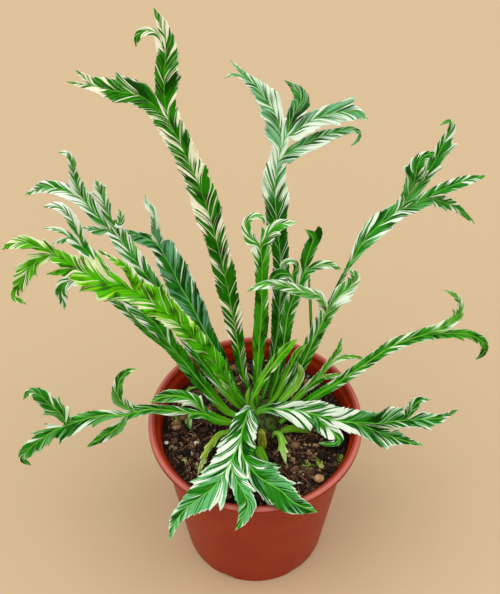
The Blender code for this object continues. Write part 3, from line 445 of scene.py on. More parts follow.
def centreline(points, before):
    """Rows at equal steps on the smooth curve through points: places, left and right half-widths.

    Each span is a Catmull-Rom curve, entered as if coming from before.
    """
    known = np.array(points, float)
    ghost = 2 * known[0] - known[1]
    ghost[3:] = known[0, 3:]
    if before is not None:
        ghost[:3] = before
    padded = np.vstack([ghost, known, 2 * known[-1] - known[-2]])
    a, b, c, d = (padded[i:len(padded) - 3 + i, None] for i in range(4))
    t = (np.arange(SMOOTH_SPAN) / SMOOTH_SPAN)[None, :, None]
    curve = 0.5 * (2 * b + (c - a) * t + (2 * a - 5 * b + 4 * c - d) * t**2 + (3 * b - a - 3 * c + d) * t**3)
    curve[..., 3:] = b[..., 3:] + (c[..., 3:] - b[..., 3:]) * t
    fine = np.vstack([curve.reshape(-1, 5), known[-1]])
    along = np.concatenate([[0], np.cumsum(np.linalg.norm(np.diff(fine[:, :3], axis=0), axis=1))])
    steps = np.linspace(0, along[-1], max(4, round(along[-1] / ROW)) + 1)
    rows = np.stack([np.interp(steps, along, fine[:, k]) for k in range(5)], axis=1)
    return steps, rows[:, :3], rows[:, 3], rows[:, 4]


def directions(places, before):
    """Ahead, side and upper-face directions of each row."""
    led = places if before is None else np.vstack([before, places])
    ahead = unit(np.gradient(led, axis=0))[0 if before is None else 1:]
    side = unit(np.cross(ahead, FACE))
    return ahead, side, unit(np.cross(side, ahead))


def smoothed(values, reach):
    """Moving average over that many rows each way."""
    if len(values) < 2 * reach + 1:
        return values
    padded = np.concatenate([np.full(reach, values[0]), values, np.full(reach, values[-1])])
    return np.convolve(padded, np.full(2 * reach + 1, 1 / (2 * reach + 1)), "valid")


def saw(along, seed):
    """Teeth that lean to the tip, 0 to 1: each grows slowly from its base and ends in a sharp step."""
    phase = along / TOOTH_LENGTH + 0.5 * waver(along / 7.1, seed)
    size = 0.65 + 0.35 * waver(np.floor(phase) * 3.7, seed + 1)
    part = phase - np.floor(phase)
    return size * part**1.2 * (1 - ease(part, 0.86, 1.0))


class Strip:
    """One length of midrib with its rows, the strips that fork from it, and where its edges are webbed."""

    def __init__(self, part, start, before, parent=None):
        points = part["points"] if start is None else [start, *part["points"]]
        self.part = part
        self.parent = parent
        self.steps, self.places, self.left, self.right = centreline(points, before)
        self.ahead, self.side, self.normal = directions(self.places, before)
        self.along = self.steps + (0.0 if parent is None else parent.along[-1])
        inherited = 0.0 if parent is None else parent.tone[-1]
        own = inherited if part["tone"] is None else part["tone"]
        self.tone = inherited + (own - inherited) * ease(self.steps, 0.0, TONE_BLEND)
        self.joined = {0: np.full((len(self.steps), 3), np.nan), 1: np.full((len(self.steps), 3), np.nan)}
        self.room = {0: np.full(len(self.steps), np.inf), 1: np.full(len(self.steps), np.inf)}
        self.kids = []
        left, right = part["kids"]
        if left is not None:
            end = self.places[-1]
            behind = self.places[-min(LEAD, len(self.places))]
            self.kids = [Strip(left, (*end, self.left[-1], 0.0), behind, self),
                         Strip(right, (*end, 0.0, self.right[-1]), behind, self)]
            self.web()

    def chain(self, side):
        """This strip and those that carry its left (0) or right (1) edge on, to the tip."""
        return [self] + (self.kids[side].chain(side) if self.kids else [])

    def web(self):
        """Joins the facing edges of the two children, row by row, while their halves would meet there."""
        chains = [self.kids[0].chain(1), self.kids[1].chain(0)]
        paths, widths = [], []
        for number, strips in enumerate(chains):
            starts = [0] + [1] * (len(strips) - 1)
            paths.append(np.concatenate([s.places[k:] for s, k in zip(strips, starts)]))
            widths.append(np.concatenate([(s.left if number else s.right)[k:] for s, k in zip(strips, starts)]))
        rows = min(map(len, paths))
        a, b = paths[0][:rows], paths[1][:rows]
        gap = np.linalg.norm(b - a, axis=1) / 2
        touching = gap < np.minimum(widths[0][:rows], widths[1][:rows]) + 0.02
        touching |= np.arange(rows) * ROW < self.part["web"]
        touching[0] = True
        count = rows - 1 if touching.all() else max(int(np.argmin(touching)), 1)
        meet = (a + b) / 2 + FACE * (FOLD * gap)[:, None]
        for number, strips in enumerate(chains):
            first = 0
            for strip in strips:
                last = min(first + len(strip.steps), rows)
                if last <= first:
                    break
                shut = min(last, count) - first
                if shut > 0:
                    strip.joined[1 - number][:shut] = meet[first:first + shut]
                strip.room[1 - number][:last - first] = gap[first:last] * 0.98
                first += len(strip.steps) - 1


class Frond:
    """One frond: its strips worked out into upper and lower skins that share rows where they fork."""

    def __init__(self, root, style, seed):
        self.style = style
        self.seed = seed
        self.count = 0
        self.strips = []
        trunk = Strip(root, None, None)
        self.build(trunk, (seed, seed + 50), None)

    def reach(self, strip, number):
        """The way from the midrib to one edge, shortened inside a bend, and how far it is free of a web."""
        sign = 2.0 * number - 1.0
        width = strip.right if number else strip.left
        bend = np.sum(np.gradient(strip.ahead, axis=0) * strip.side, axis=1) / ROW
        room = BEND_ROOM / np.maximum(smoothed(sign * bend, 2), 1e-4)
        width = smoothed(width / (1 + (width / room) ** 4) ** 0.25, 2)
        width = np.minimum(width, strip.room[number])
        own = sign * strip.side + FOLD * strip.normal
        shut = ~np.isnan(strip.joined[number][:, 0])
        if not shut.any():
            return own * width[:, None], np.ones(len(width)), width
        count = int(shut.sum())
        toward = strip.joined[number][count - 1] - strip.places[count - 1]
        open_from = strip.steps[count - 1]
        mix = ease(strip.steps, open_from, open_from + WEB_BLEND)[:, None]
        if np.linalg.norm(toward) < 1e-6:
            mix = np.ones_like(mix)
        found = unit((1 - mix) * unit(toward[None]) + mix * own) * width[:, None]
        found[:count] = strip.joined[number][:count] - strip.places[:count]
        return found, np.where(shut, 0.0, mix[:, 0]), width

    def build(self, strip, seeds, first):
        """Works out one strip and then its children. first is the row that it shares with its parent."""
        if strip.parent is not None:
            width = max(strip.left[0], strip.right[0])
            own = ease(strip.steps, 0, 1.2 * width + 1.0)[:, None]
            strip.side = unit((1 - own) * strip.parent.side[-1] + own * strip.side)
            strip.normal = unit(np.cross(strip.side, strip.ahead))
        (left_place, left_chart), (right_place, right_chart) = (self.half(strip, k, seeds[k]) for k in (0, 1))
        place = np.concatenate([left_place[:, :0:-1], right_place], axis=1)
        flat = np.concatenate([left_chart[:, :0:-1], right_chart], axis=1)
        tone = np.broadcast_to(strip.tone[:, None, None], (*flat.shape[:2], 1))
        strip.chart = np.concatenate([flat, tone], axis=2)
        across = np.abs(strip.chart[..., 1])
        u = np.abs(np.concatenate([-COLUMNS[:0:-1], COLUMNS]))[None, :]
        stalk = STALK_HALF_THICKNESS * np.exp(-strip.along / STALK_FADE)[:, None]
        thick = BLADE_HALF_THICKNESS + (EDGE_HALF_THICKNESS - BLADE_HALF_THICKNESS) * u**2 + stalk * (1 - u**2)
        rib = (0.2 + 0.3 * np.exp(-strip.along / 70.0))[:, None]
        ridge = np.exp(-(across / (0.35 + 0.5 * rib)) ** 2)
        if not strip.kids:
            ridge = ridge * ease(strip.steps[-1] - strip.steps, 0, 6)[:, None]
        rise = strip.normal[:, None, :]
        strip.upper = place + rise * (thick + 0.55 * rib * ridge)[..., None]
        strip.lower = place - rise * (thick + 0.9 * rib * ridge)[..., None]
        for number, edge in ((0, 0), (1, -1)):
            shut = ~np.isnan(strip.joined[number][:, 0])
            strip.upper[shut, edge] = strip.joined[number][shut] + FACE * EDGE_HALF_THICKNESS
            strip.lower[shut, edge] = strip.joined[number][shut] - FACE * EDGE_HALF_THICKNESS
        if first is not None:
            strip.upper[0], strip.lower[0], strip.chart[0] = first
        self.strips.append(strip)
        if strip.kids:
            self.count += 1
            fresh = self.seed + 7 * self.count + 200
            self.build(strip.kids[0], (seeds[0], fresh), self.shared_row(strip, 0))
            self.build(strip.kids[1], (fresh + 100, seeds[1]), self.shared_row(strip, 1))

    def half(self, strip, number, seed):
        """Places across half of the blade: midrib + reach x u + normal x (arch + ruffle x u squared) + teeth."""
        reach, free, width = self.reach(strip, number)
        along, steps = strip.along, strip.steps
        lobes = LOBE_DEPTH * self.style["teeth"] * waver(along / LOBE_LENGTH, seed + 9) * ease(width, 2, 4) * free
        bump = np.zeros(len(steps))
        for side, at, length, height in strip.part["lobes"]:
            if side == number:
                grown = ease(steps, at - length, at) * (1 - ease(steps, at, at + 0.3 * length))
                bump = np.maximum(bump, height * grown)
        size = np.linalg.norm(reach, axis=1) * (1 + lobes)
        if not strip.kids:
            size = size * np.sqrt(np.clip((steps[-1] - steps) / TIP_TAPER, 0, 1))
        out = unit(reach)
        bite = TOOTH_DEPTH * self.style["teeth"] * saw(along, seed) * np.minimum(width / 6, 1.1)
        bite = bite * ease(width, 1.4, 3.0) * free + bump * free
        wave = np.sin(2 * math.pi * along / RUFFLE_LENGTH + 2.5 * waver(along / 23, seed + 5) + seed)
        lift = self.style["ruffle"] * free * np.minimum(width / 5, 1.4) * wave * (0.7 + 0.3 * waver(along / 31, seed))
        u = COLUMNS[None, :, None]
        tooth = (bite[:, None] * COLUMNS**3)[..., None]
        rise = 0.07 * size[:, None, None] * np.sin(math.pi * u) + lift[:, None, None] * u**2.2
        place = strip.places[:, None] + out[:, None] * (size[:, None, None] * u + tooth)
        place = place + strip.ahead[:, None] * TOOTH_LEAN * tooth + strip.normal[:, None] * rise
        across = (2.0 * number - 1.0) * (size[:, None] * COLUMNS + tooth[..., 0])
        return place, np.stack([along[:, None] + TOOTH_LEAN * tooth[..., 0], across], axis=-1)

    def shared_row(self, parent, number):
        """The parent's last row on this child's side, with its midrib point repeated on the other."""
        rows = []
        for values in (parent.upper[-1], parent.lower[-1], parent.chart[-1]):
            middle = np.repeat(values[HALF - 1:HALF], HALF - 1, axis=0)
            kept = [values[:HALF], middle] if number == 0 else [middle, values[HALF - 1:]]
            rows.append(np.concatenate(kept))
        return rows

    def mesh(self, name, shade, slot, replaced=None):
        """Upper and lower skins of all strips, welded where they fork and closed along their edges."""
        columns = 2 * HALF - 1
        faces = []
        offset = 0
        for strip in self.strips:
            faces.append(grid_faces(len(strip.along), columns) + offset)
            offset += len(strip.along) * columns
        upper, lower, chart = (np.concatenate([getattr(s, k).reshape(-1, n) for s in self.strips])
                               for k, n in (("upper", 3), ("lower", 3), ("chart", 3)))
        pairs, joined, given = weld(np.concatenate([upper, lower], axis=1), np.concatenate(faces))
        count = len(pairs)
        edges = joined[:, [0, 1, 1, 2, 2, 0]].reshape(-1, 2)
        sources = given[:, [0, 1, 1, 2, 2, 0]].reshape(-1, 2)
        _, which, uses = np.unique(np.sort(edges, axis=1), axis=0, return_inverse=True, return_counts=True)
        rim = uses[which.reshape(-1)] == 1
        a, b = edges[rim].T
        source_a, source_b = sources[rim].T
        wall = np.concatenate([np.stack([b, a, a + count], 1), np.stack([b, a + count, b + count], 1)])
        wall_source = np.concatenate([np.stack([source_b, source_a, source_a], 1),
                                      np.stack([source_b, source_a, source_b], 1)])
        triangles = np.concatenate([joined, joined[:, ::-1] + count, wall])
        corners = np.concatenate([given, given[:, ::-1], wall_source])
        piece = add_piece(name, np.concatenate([pairs[:, :3], pairs[:, 3:]]), triangles, shade, replaced)
        layer = piece.data.uv_layers.new(name="Blade")
        layer.data.foreach_set("uv", chart[corners][..., :2].ravel())
        mark(piece, "under", np.repeat([0.0, 1.0], count))
        spread = np.abs(np.concatenate([-COLUMNS[:0:-1], COLUMNS]))
        edge = np.zeros(count)
        edge[joined.ravel()] = spread[given.ravel() % columns]
        mark(piece, "edge", np.tile(edge, 2))
        tone = np.zeros(count)
        tone[joined.ravel()] = chart[given.ravel(), 2]
        mark(piece, "tone", np.tile(tone, 2))
        return piece


# Materials

def linear(hex_text):
    """Linear RGBA of an sRGB hex colour."""
    channels = [int(hex_text[i:i + 2], 16) / 255 for i in (0, 2, 4)]
    return (*[c / 12.92 if c <= 0.04045 else ((c + 0.055) / 1.055) ** 2.4 for c in channels], 1.0)


def add(tree, kind, inputs=None, **settings):
    """A new node. settings are its own properties; inputs gives a socket a number, a colour or an output."""
    made = tree.nodes.new(kind)
    for name, value in settings.items():
        setattr(made, name, value)
    for key, value in (inputs or {}).items():
        if isinstance(value, bpy.types.NodeSocket):
            tree.links.new(value, made.inputs[key])
        else:
            made.inputs[key].default_value = value
    return made


def start_material(name, roughness, ior=1.45, specular=0.5):
    """A material with its Principled shader, whose plain values are set here."""
    made = bpy.data.materials.new(name)
    made.use_nodes = True
    shader = made.node_tree.nodes["Principled BSDF"]
    shader.inputs["Roughness"].default_value = roughness
    shader.inputs["IOR"].default_value = ior
    shader.inputs["Specular IOR Level"].default_value = specular
    return made, made.node_tree, shader


def maths(tree, operation, a, b=0.0, c=0.0):
    """The result of one sum."""
    return add(tree, "ShaderNodeMath", {0: a, 1: b, 2: c}, operation=operation).outputs[0]


def blend(tree, amount, low, high):
    """A colour between two."""
    return add(tree, "ShaderNodeMix", {0: amount, 6: low, 7: high}, data_type="RGBA").outputs[2]


def step(tree, value, low, high, start=0.0, end=1.0):
    """Smooth step of a value from start, at low, to end, at high."""
    return add(tree, "ShaderNodeMapRange", {0: value, 1: low, 2: high, 3: start, 4: end},
               interpolation_type="SMOOTHSTEP").outputs[0]


# How veins run: steepness on the stalk, run at the edge and beside the midrib, and how soon they turn out
BASE_SLANT = 2.6
EDGE_RUN = 0.85
RIB_RUN = 1.2
TURN_OUT = 1.5
VEIN_STRETCH = 0.035
EDGE_WHITE = 0.1


def blade_material(name, style, seed):
    """Living fern blade: satin cuticle over tissue that is green, grey-green or cream between its veins.

    Veins leave the midrib nearly along it and turn out to the edge, so
    vein = along - slant x (0.85 across + 1.2 (1 - exp(-across / 1.5)))
    is the same all along one vein, and noise read at (vein, across / 28) runs in slivers from midrib to edge.
    Thresholds on that noise give the stripes. They drift along the frond, and favour white at the edges.
    """
    shade, tree, shader = start_material(name, 0.48, 1.46, 0.06)
    chart = add(tree, "ShaderNodeSeparateXYZ", {0: add(tree, "ShaderNodeUVMap", uv_map="Blade").outputs[0]})
    along, lateral = chart.outputs[0], chart.outputs[1]
    across = maths(tree, "ABSOLUTE", lateral)
    side = maths(tree, "SIGN", lateral)

    def noise(x, y, z, detail=1.0, roughness=0.5):
        where = add(tree, "ShaderNodeCombineXYZ", {0: x, 1: y, 2: z}).outputs[0]
        return add(tree, "ShaderNodeTexNoise", {"Vector": where, "Scale": 1.0, "Detail": detail,
                                                "Roughness": roughness}).outputs[0]

    bend = noise(maths(tree, "MULTIPLY", along, 0.12), maths(tree, "MULTIPLY", lateral, 0.12), seed * 1.7)
    patch = noise(maths(tree, "MULTIPLY", along, 0.05), maths(tree, "MULTIPLY", side, 2.3), seed * 2.9)
    slant = maths(tree, "MULTIPLY_ADD", patch, 1.6, style["slant"] - 0.8)
    slant = maths(tree, "ADD", slant, step(tree, along, 0.0, 2.3 * style["stalk_end"], BASE_SLANT, 0.0))
    turning = maths(tree, "EXPONENT", maths(tree, "MULTIPLY", across, -1.0 / TURN_OUT))
    run = maths(tree, "MULTIPLY_ADD", across, EDGE_RUN, maths(tree, "MULTIPLY_ADD", turning, -RIB_RUN, RIB_RUN))
    vein = maths(tree, "SUBTRACT", along, maths(tree, "MULTIPLY", slant, run))
    vein = maths(tree, "MULTIPLY_ADD", bend, 1.6, vein)

    def stripes(width, offset, detail, roughness):
        return noise(maths(tree, "MULTIPLY", vein, 0.5 / width), maths(tree, "MULTIPLY", across, VEIN_STRETCH),
                     maths(tree, "MULTIPLY_ADD", side, 4.3, seed * 3.1 + offset), detail, roughness)

    broad = stripes(style["stripe"], 0.0, 3.0, 0.7)
    grey = stripes(style["stripe"] * 0.8, 31.0, 3.0, 0.7)
    fine = stripes(0.8, 57.0, 2.0, 0.6)
    higher = step(tree, along, *style["turn"])
    edge = add(tree, "ShaderNodeAttribute", attribute_name="edge").outputs[2]
    tone = add(tree, "ShaderNodeAttribute", attribute_name="tone").outputs[2]
    tone = maths(tree, "MULTIPLY", tone, 0.5)
    shift = maths(tree, "MULTIPLY_ADD", patch, 0.4, -0.2)
    masks = []
    for field, (low, high), sharp in ((broad, style["white"], 0.018), (grey, style["grey"], 0.04)):
        share = maths(tree, "MULTIPLY_ADD", higher, (high - low) * 0.5, (low - 0.5) * 0.5 - EDGE_WHITE / 2)
        share = maths(tree, "ADD", maths(tree, "MULTIPLY_ADD", edge, EDGE_WHITE, share), tone)
        level = maths(tree, "ADD", maths(tree, "ADD", field, share), shift)
        masks.append(step(tree, level, 0.5 - sharp, 0.5 + sharp))
        shift = maths(tree, "MULTIPLY", shift, -0.6)
    slivers = step(tree, maths(tree, "ADD", fine, (style["sliver"] - 0.5) * 0.5), 0.5, 0.54, 0.0, 0.85)
    green = blend(tree, higher, linear(style["dark"][0]), linear(style["dark"][1]))
    # Painted shade: the green darkened toward black, laid in broad streaks as shade in the blade's folds
    shaded_green = blend(tree, 0.76, green, (0.0, 0.0, 0.0, 1.0))
    fold_shade = stripes(style["stripe"] * 1.5, 83.0, 2.0, 0.6)
    fold_shade = maths(tree, "MULTIPLY_ADD", bend, 0.6, maths(tree, "MULTIPLY", fold_shade, 0.7))
    green = blend(tree, step(tree, fold_shade, 0.5, 0.7), shaded_green, green)
    tissue = blend(tree, masks[1], green, linear(style["middle"]))
    # Painted shade: fine dark lines along the veins, in the darkened green, stand for shade in the grooves between
    # veins
    vein_shade_lines = step(tree, stripes(0.45, 91.0, 1.0, 0.5), 0.45, 0.38, 0.0, 0.6)
    tissue = blend(tree, vein_shade_lines, tissue, shaded_green)
    tissue = blend(tree, maths(tree, "MAXIMUM", masks[0], slivers), tissue, linear(style["pale"]))
    veiled = step(tree, fine, 0.42, 0.3, 0.0, 0.25)
    tissue = blend(tree, veiled, tissue, green)
    tissue = blend(tree, step(tree, along, 0.2 * style["stalk_end"], style["stalk_end"], 0.92, 0.0), tissue, linear(style["stalk"]))
    rib = step(tree, maths(tree, "SUBTRACT", across, step(tree, along, 10.0, 110.0, 0.28, 0.08)), 0.0, 0.34, 1.0, 0.0)
    rib = maths(tree, "MULTIPLY", rib, step(tree, along, 60.0, 170.0, 0.85, 0.6))
    tissue = blend(tree, rib, tissue, linear(style["rib"]))
    broken = noise(maths(tree, "MULTIPLY", along, 0.17), maths(tree, "MULTIPLY", side, 3.7), seed * 5.3)
    broken = maths(tree, "MULTIPLY", step(tree, broken, 0.42, 0.58), 2.2 * style["margin"])
    broken = maths(tree, "MULTIPLY", broken, higher)
    margin = maths(tree, "MULTIPLY", step(tree, edge, 0.86, 0.96), broken)
    tissue = blend(tree, margin, tissue, linear(style["pale"]))
    under = add(tree, "ShaderNodeAttribute", attribute_name="under").outputs[2]
    tissue = blend(tree, maths(tree, "MULTIPLY", under, 0.35), tissue, linear("9DB88A"))
    tree.links.new(tissue, shader.inputs["Base Color"])
    ridges = maths(tree, "MULTIPLY_ADD", fine, 0.7, maths(tree, "MULTIPLY", broad, 0.5))
    bump = add(tree, "ShaderNodeBump", {"Height": ridges, "Strength": 0.5, "Distance": 0.0006})
    tree.links.new(bump.outputs[0], shader.inputs["Normal"])
    return shade


def pot_material():
    """Injection-moulded polypropylene, dyed through: satin, with faint flow mottling and upright scuffs.

    The outer edge of the lip is painted paler, a painted highlight where the lip catches the light.
    """
    shade, tree, shader = start_material("satin_moulded_polypropylene", 0.38, 1.49, 0.14)
    place = add(tree, "ShaderNodeTexCoord").outputs["Object"]
    mottle = add(tree, "ShaderNodeTexNoise", {"Vector": place, "Scale": 55.0, "Detail": 3.0}).outputs[0]
    upright = add(tree, "ShaderNodeMapping", {0: place, 3: (420.0, 420.0, 22.0)}).outputs[0]
    scuff = add(tree, "ShaderNodeTexNoise", {"Vector": upright, "Scale": 1.0, "Detail": 2.0}).outputs[0]
    grain = add(tree, "ShaderNodeTexNoise", {"Vector": place, "Scale": 1600.0, "Detail": 1.0}).outputs[0]
    colour = blend(tree, step(tree, mottle, 0.3, 0.7), linear(POT_DARK), linear(POT_LIGHT))
    colour = blend(tree, step(tree, scuff, 0.62, 0.8, 0.0, 0.18), colour, linear("B04E30"))
    height_up = add(tree, "ShaderNodeSeparateXYZ", {0: place}).outputs[2]
    outward = add(tree, "ShaderNodeVectorMath", {0: place, 1: (1.0, 1.0, 0.0)}, operation="MULTIPLY").outputs[0]
    outward = add(tree, "ShaderNodeVectorMath", {0: outward}, operation="LENGTH").outputs[1]
    # Painted highlight: the lip's outer edge is mixed toward pale pink where it catches the lamps
    lip_highlight = maths(tree, "MULTIPLY", step(tree, height_up, (POT_HEIGHT - 1.4) * MM, (POT_HEIGHT - 0.7) * MM),
                    step(tree, outward, (RIM_RADIUS - 2.6) * MM, (RIM_RADIUS - 1.7) * MM, 0.1, 0.54))
    colour = blend(tree, lip_highlight, colour, linear("DC8C82"))
    tree.links.new(colour, shader.inputs["Base Color"])
    gloss = maths(tree, "MULTIPLY_ADD", scuff, 0.14, 0.33)
    tree.links.new(gloss, shader.inputs["Roughness"])
    height = maths(tree, "MULTIPLY_ADD", grain, 0.3, mottle)
    bump = add(tree, "ShaderNodeBump", {"Height": height, "Strength": 0.25, "Distance": 0.0004})
    tree.links.new(bump.outputs[0], shader.inputs["Normal"])
    return shade


POT_DARK = "9A2602"
POT_LIGHT = "A32B04"


def soil_material():
    """Damp peat: nearly black, matt, with brown flecks of fibre about a millimetre long."""
    shade, tree, shader = start_material("damp_peat", 0.92, 1.4, 0.25)
    place = add(tree, "ShaderNodeTexCoord").outputs["Object"]
    coarse = add(tree, "ShaderNodeTexNoise", {"Vector": place, "Scale": 260.0, "Detail": 4.0}).outputs[0]
    fleck = add(tree, "ShaderNodeTexNoise", {"Vector": place, "Scale": 700.0, "Detail": 2.0}).outputs[0]
    colour = blend(tree, step(tree, coarse, 0.35, 0.7), linear("150D08"), linear("3A2619"))
    colour = blend(tree, step(tree, fleck, 0.6, 0.68), colour, linear("7A5A40"))
    tree.links.new(colour, shader.inputs["Base Color"])
    height = maths(tree, "MULTIPLY_ADD", fleck, 0.6, coarse)
    bump = add(tree, "ShaderNodeBump", {"Height": height, "Strength": 0.8, "Distance": 0.001})
    tree.links.new(bump.outputs[0], shader.inputs["Normal"])
    return shade


def crumb_material(name, tones, roughness=0.9):
    """Crumbs of one kind: each has its own tone, from dark to light, and a mottled, matt face."""
    shade, tree, shader = start_material(name, roughness, 1.45, 0.3)
    tone = add(tree, "ShaderNodeAttribute", attribute_name="tone").outputs[2]
    place = add(tree, "ShaderNodeTexCoord").outputs["Object"]
    mottle = add(tree, "ShaderNodeTexNoise", {"Vector": place, "Scale": 900.0, "Detail": 3.0}).outputs[0]
    tone = maths(tree, "ADD", tone, maths(tree, "MULTIPLY_ADD", mottle, 0.5, -0.25))
    colour = blend(tree, step(tree, tone, 0.1, 0.6), linear(tones[0]), linear(tones[1]))
    colour = blend(tree, step(tree, tone, 0.72, 0.95), colour, linear(tones[2]))
    tree.links.new(colour, shader.inputs["Base Color"])
    bump = add(tree, "ShaderNodeBump", {"Height": mottle, "Strength": 0.6, "Distance": 0.0005})
    tree.links.new(bump.outputs[0], shader.inputs["Normal"])
    return shade


def streaked_material(name, dark, light, roughness, scale):
    """Plant tissue or stone with soft streaks between two colours."""
    shade, tree, shader = start_material(name, roughness)
    place = add(tree, "ShaderNodeTexCoord").outputs["Object"]
    stretched = add(tree, "ShaderNodeMapping", {0: place, 3: scale}).outputs[0]
    streak = add(tree, "ShaderNodeTexNoise", {"Vector": stretched, "Scale": 1.0, "Detail": 3.0}).outputs[0]
    colour = blend(tree, step(tree, streak, 0.35, 0.65), linear(dark), linear(light))
    tree.links.new(colour, shader.inputs["Base Color"])
    bump = add(tree, "ShaderNodeBump", {"Height": streak, "Strength": 0.5, "Distance": 0.0005})
    tree.links.new(bump.outputs[0], shader.inputs["Normal"])
    return shade


# Pot

def rounded(outline, radius, steps=5):
    """An outline of (radius, height) points with each inner corner replaced by a parabola of that reach."""
    outline = np.array(outline, float)
    rounded_points = [outline[:1]]
    t = np.linspace(0, 1, steps)[:, None]
    for before, corner, after in zip(outline, outline[1:], outline[2:]):
        reach_in = min(radius, 0.45 * np.linalg.norm(corner - before))
        reach_out = min(radius, 0.45 * np.linalg.norm(after - corner))
        first = corner + unit(before - corner) * reach_in
        last = corner + unit(after - corner) * reach_out
        rounded_points.append((1 - t) ** 2 * first + 2 * t * (1 - t) * corner + t**2 * last)
    rounded_points.append(outline[-1:])
    return np.concatenate(rounded_points)


def turned(profile, angles, centre=(0.0, 0.0)):
    """Grid of points of a profile turned round the vertical: (radius x cos, radius x sin, height)."""
    radius, height = profile[:, 0:1], profile[:, 1:2]
    x = centre[0] + radius * np.cos(angles)
    y = centre[1] + radius * np.sin(angles)
    return np.stack([x, y, height + 0 * x], axis=-1)


def wall_radius(height):
    """Outer radius of the pot's tapered wall."""
    return BASE_RADIUS + (NECK_RADIUS - BASE_RADIUS) * height / POT_HEIGHT


def make_pot():
    """The turned pot. Where a notch is, the bottom edge is lifted to the notch's height."""
    lip_low = POT_HEIGHT - LIP_HEIGHT
    step_radius = wall_radius(STEP_HEIGHT)
    outline = [
        (0, 0), (BASE_RADIUS - NOTCH_DEPTH - 0.1, 0), (BASE_RADIUS - NOTCH_DEPTH, 0),
        (BASE_RADIUS, 0), (wall_radius(2.6), 2.6), (wall_radius(STEP_HEIGHT - 1) - STEP_DEPTH, STEP_HEIGHT - 0.6),
        (step_radius + 0.1, STEP_HEIGHT + 0.5), (wall_radius(lip_low) + 0.1, lip_low),
        (RIM_RADIUS, lip_low), (RIM_RADIUS, POT_HEIGHT - 0.6), (RIM_RADIUS - 1.9, POT_HEIGHT),
        (LIP_INNER_RADIUS + 0.4, POT_HEIGHT - 0.3), (LIP_INNER_RADIUS - 0.6, lip_low + 0.6),
        (wall_radius(lip_low) - WALL, lip_low - 1.5), (wall_radius(FLOOR) - WALL, FLOOR), (0, FLOOR),
    ]
    profile = rounded(outline, 0.9)
    stretched = [profile[:1]]
    for low, high in zip(profile, profile[1:]):
        parts = max(1, int(np.linalg.norm(high - low) // 6))
        stretched.append(low + (high - low) * (np.arange(1, parts + 1) / parts)[:, None])
    profile = np.concatenate(stretched)
    half_notch = NOTCH_WIDTH / 2 / BASE_RADIUS
    notch_angles = math.radians(FIRST_NOTCH_DEG) + 2 * math.pi * np.arange(NOTCHES) / NOTCHES
    edges = [notch_angles + sign * half_notch + slip for sign in (-1, 1) for slip in (-0.006, 0.006)]
    angles = np.unique(np.concatenate([np.linspace(0, 2 * math.pi, 180, endpoint=False), *edges]) % (2 * math.pi))
    points = turned(profile, angles)
    off = (angles[:, None] - notch_angles + math.pi) % (2 * math.pi) - math.pi
    inside = np.abs(off).min(axis=1) < half_notch
    outer = (profile[:, 0] > BASE_RADIUS - NOTCH_DEPTH - 0.05) & (profile[:, 1] < NOTCH_HEIGHT)
    lifted = outer[:, None] & inside[None, :]
    points[..., 2] = np.where(lifted, NOTCH_HEIGHT, points[..., 2])
    welded, faces, _ = weld(points.reshape(-1, 3), grid_faces(*points.shape[:2], wrap=True))
    return add_piece("nursery_pot", welded, faces, pot_material(), "pot")


# Soil and what lies on it

def soil_height(places):
    """Height of the soil's surface: the level plus lumps of 14, 5 and 2 mm, and a rise round the crown."""
    flat = np.concatenate([places[..., :2], np.zeros((*places.shape[:-1], 1))], axis=-1)
    height = 1.3 * lumps(flat, 14.0, 3) + 1.1 * lumps(flat, 5.0, 4) + 0.7 * lumps(flat, 2.1, 5)
    from_crown = np.linalg.norm(places[..., :2] - np.array(CROWN_CENTRE), axis=-1)
    return SOIL_TOP + height + 3.0 * (1 - ease(from_crown, 8.0, 26.0))


def make_soil():
    """The fill of the pot: a disc of rings whose heights follow soil_height, on a plain tapered body."""
    rings, sectors = 76, 220
    edge = wall_radius(SOIL_TOP) - WALL - 0.3
    foot = wall_radius(FLOOR + 0.3) - WALL - 0.6
    top = np.stack([np.linspace(0, edge, rings), np.full(rings, SOIL_TOP)], axis=1)
    profile = np.vstack([top, [(foot, FLOOR + 0.3), (0, FLOOR + 0.3)]])[::-1]
    points = turned(profile, 2 * math.pi * np.arange(sectors) / sectors)
    points[2:, :, 2] = soil_height(points[2:])
    welded, faces, _ = weld(points.reshape(-1, 3), grid_faces(*points.shape[:2], wrap=True))
    return add_piece("peat_fill", welded, faces, soil_material(), "soil")


def crumb_shape():
    """Points and triangles of an icosahedron of radius 1."""
    golden = (1 + 5**0.5) / 2
    base = [(0, a, b * golden) for a in (-1, 1) for b in (-1, 1)]
    points = np.array([np.roll(p, k) for k in range(3) for p in base], float)
    points = unit(points)
    near = np.linalg.norm(points[:, None] - points[None], axis=-1) < 1.1
    triangles = [
        (i, j, k) for i, j, k in itertools.combinations(range(12), 3) if near[i, j] and near[j, k] and near[i, k]
    ]
    found = np.array(triangles)
    a, b, c = (points[found[:, k]] for k in range(3))
    inward = np.sum(np.cross(b - a, c - a) * a, axis=1) < 0
    found[inward] = found[inward][:, ::-1]
    return points, found


def random_turns(rng, count):
    """Rotation matrices spread evenly, from random unit quaternions."""
    w, x, y, z = unit(rng.normal(size=(count, 4))).T
    rows = [1 - 2 * (y * y + z * z), 2 * (x * y - z * w), 2 * (x * z + y * w),
            2 * (x * y + z * w), 1 - 2 * (x * x + z * z), 2 * (y * z - x * w),
            2 * (x * z - y * w), 2 * (y * z + x * w), 1 - 2 * (x * x + y * y)]
    return np.stack(rows, axis=-1).reshape(count, 3, 3)


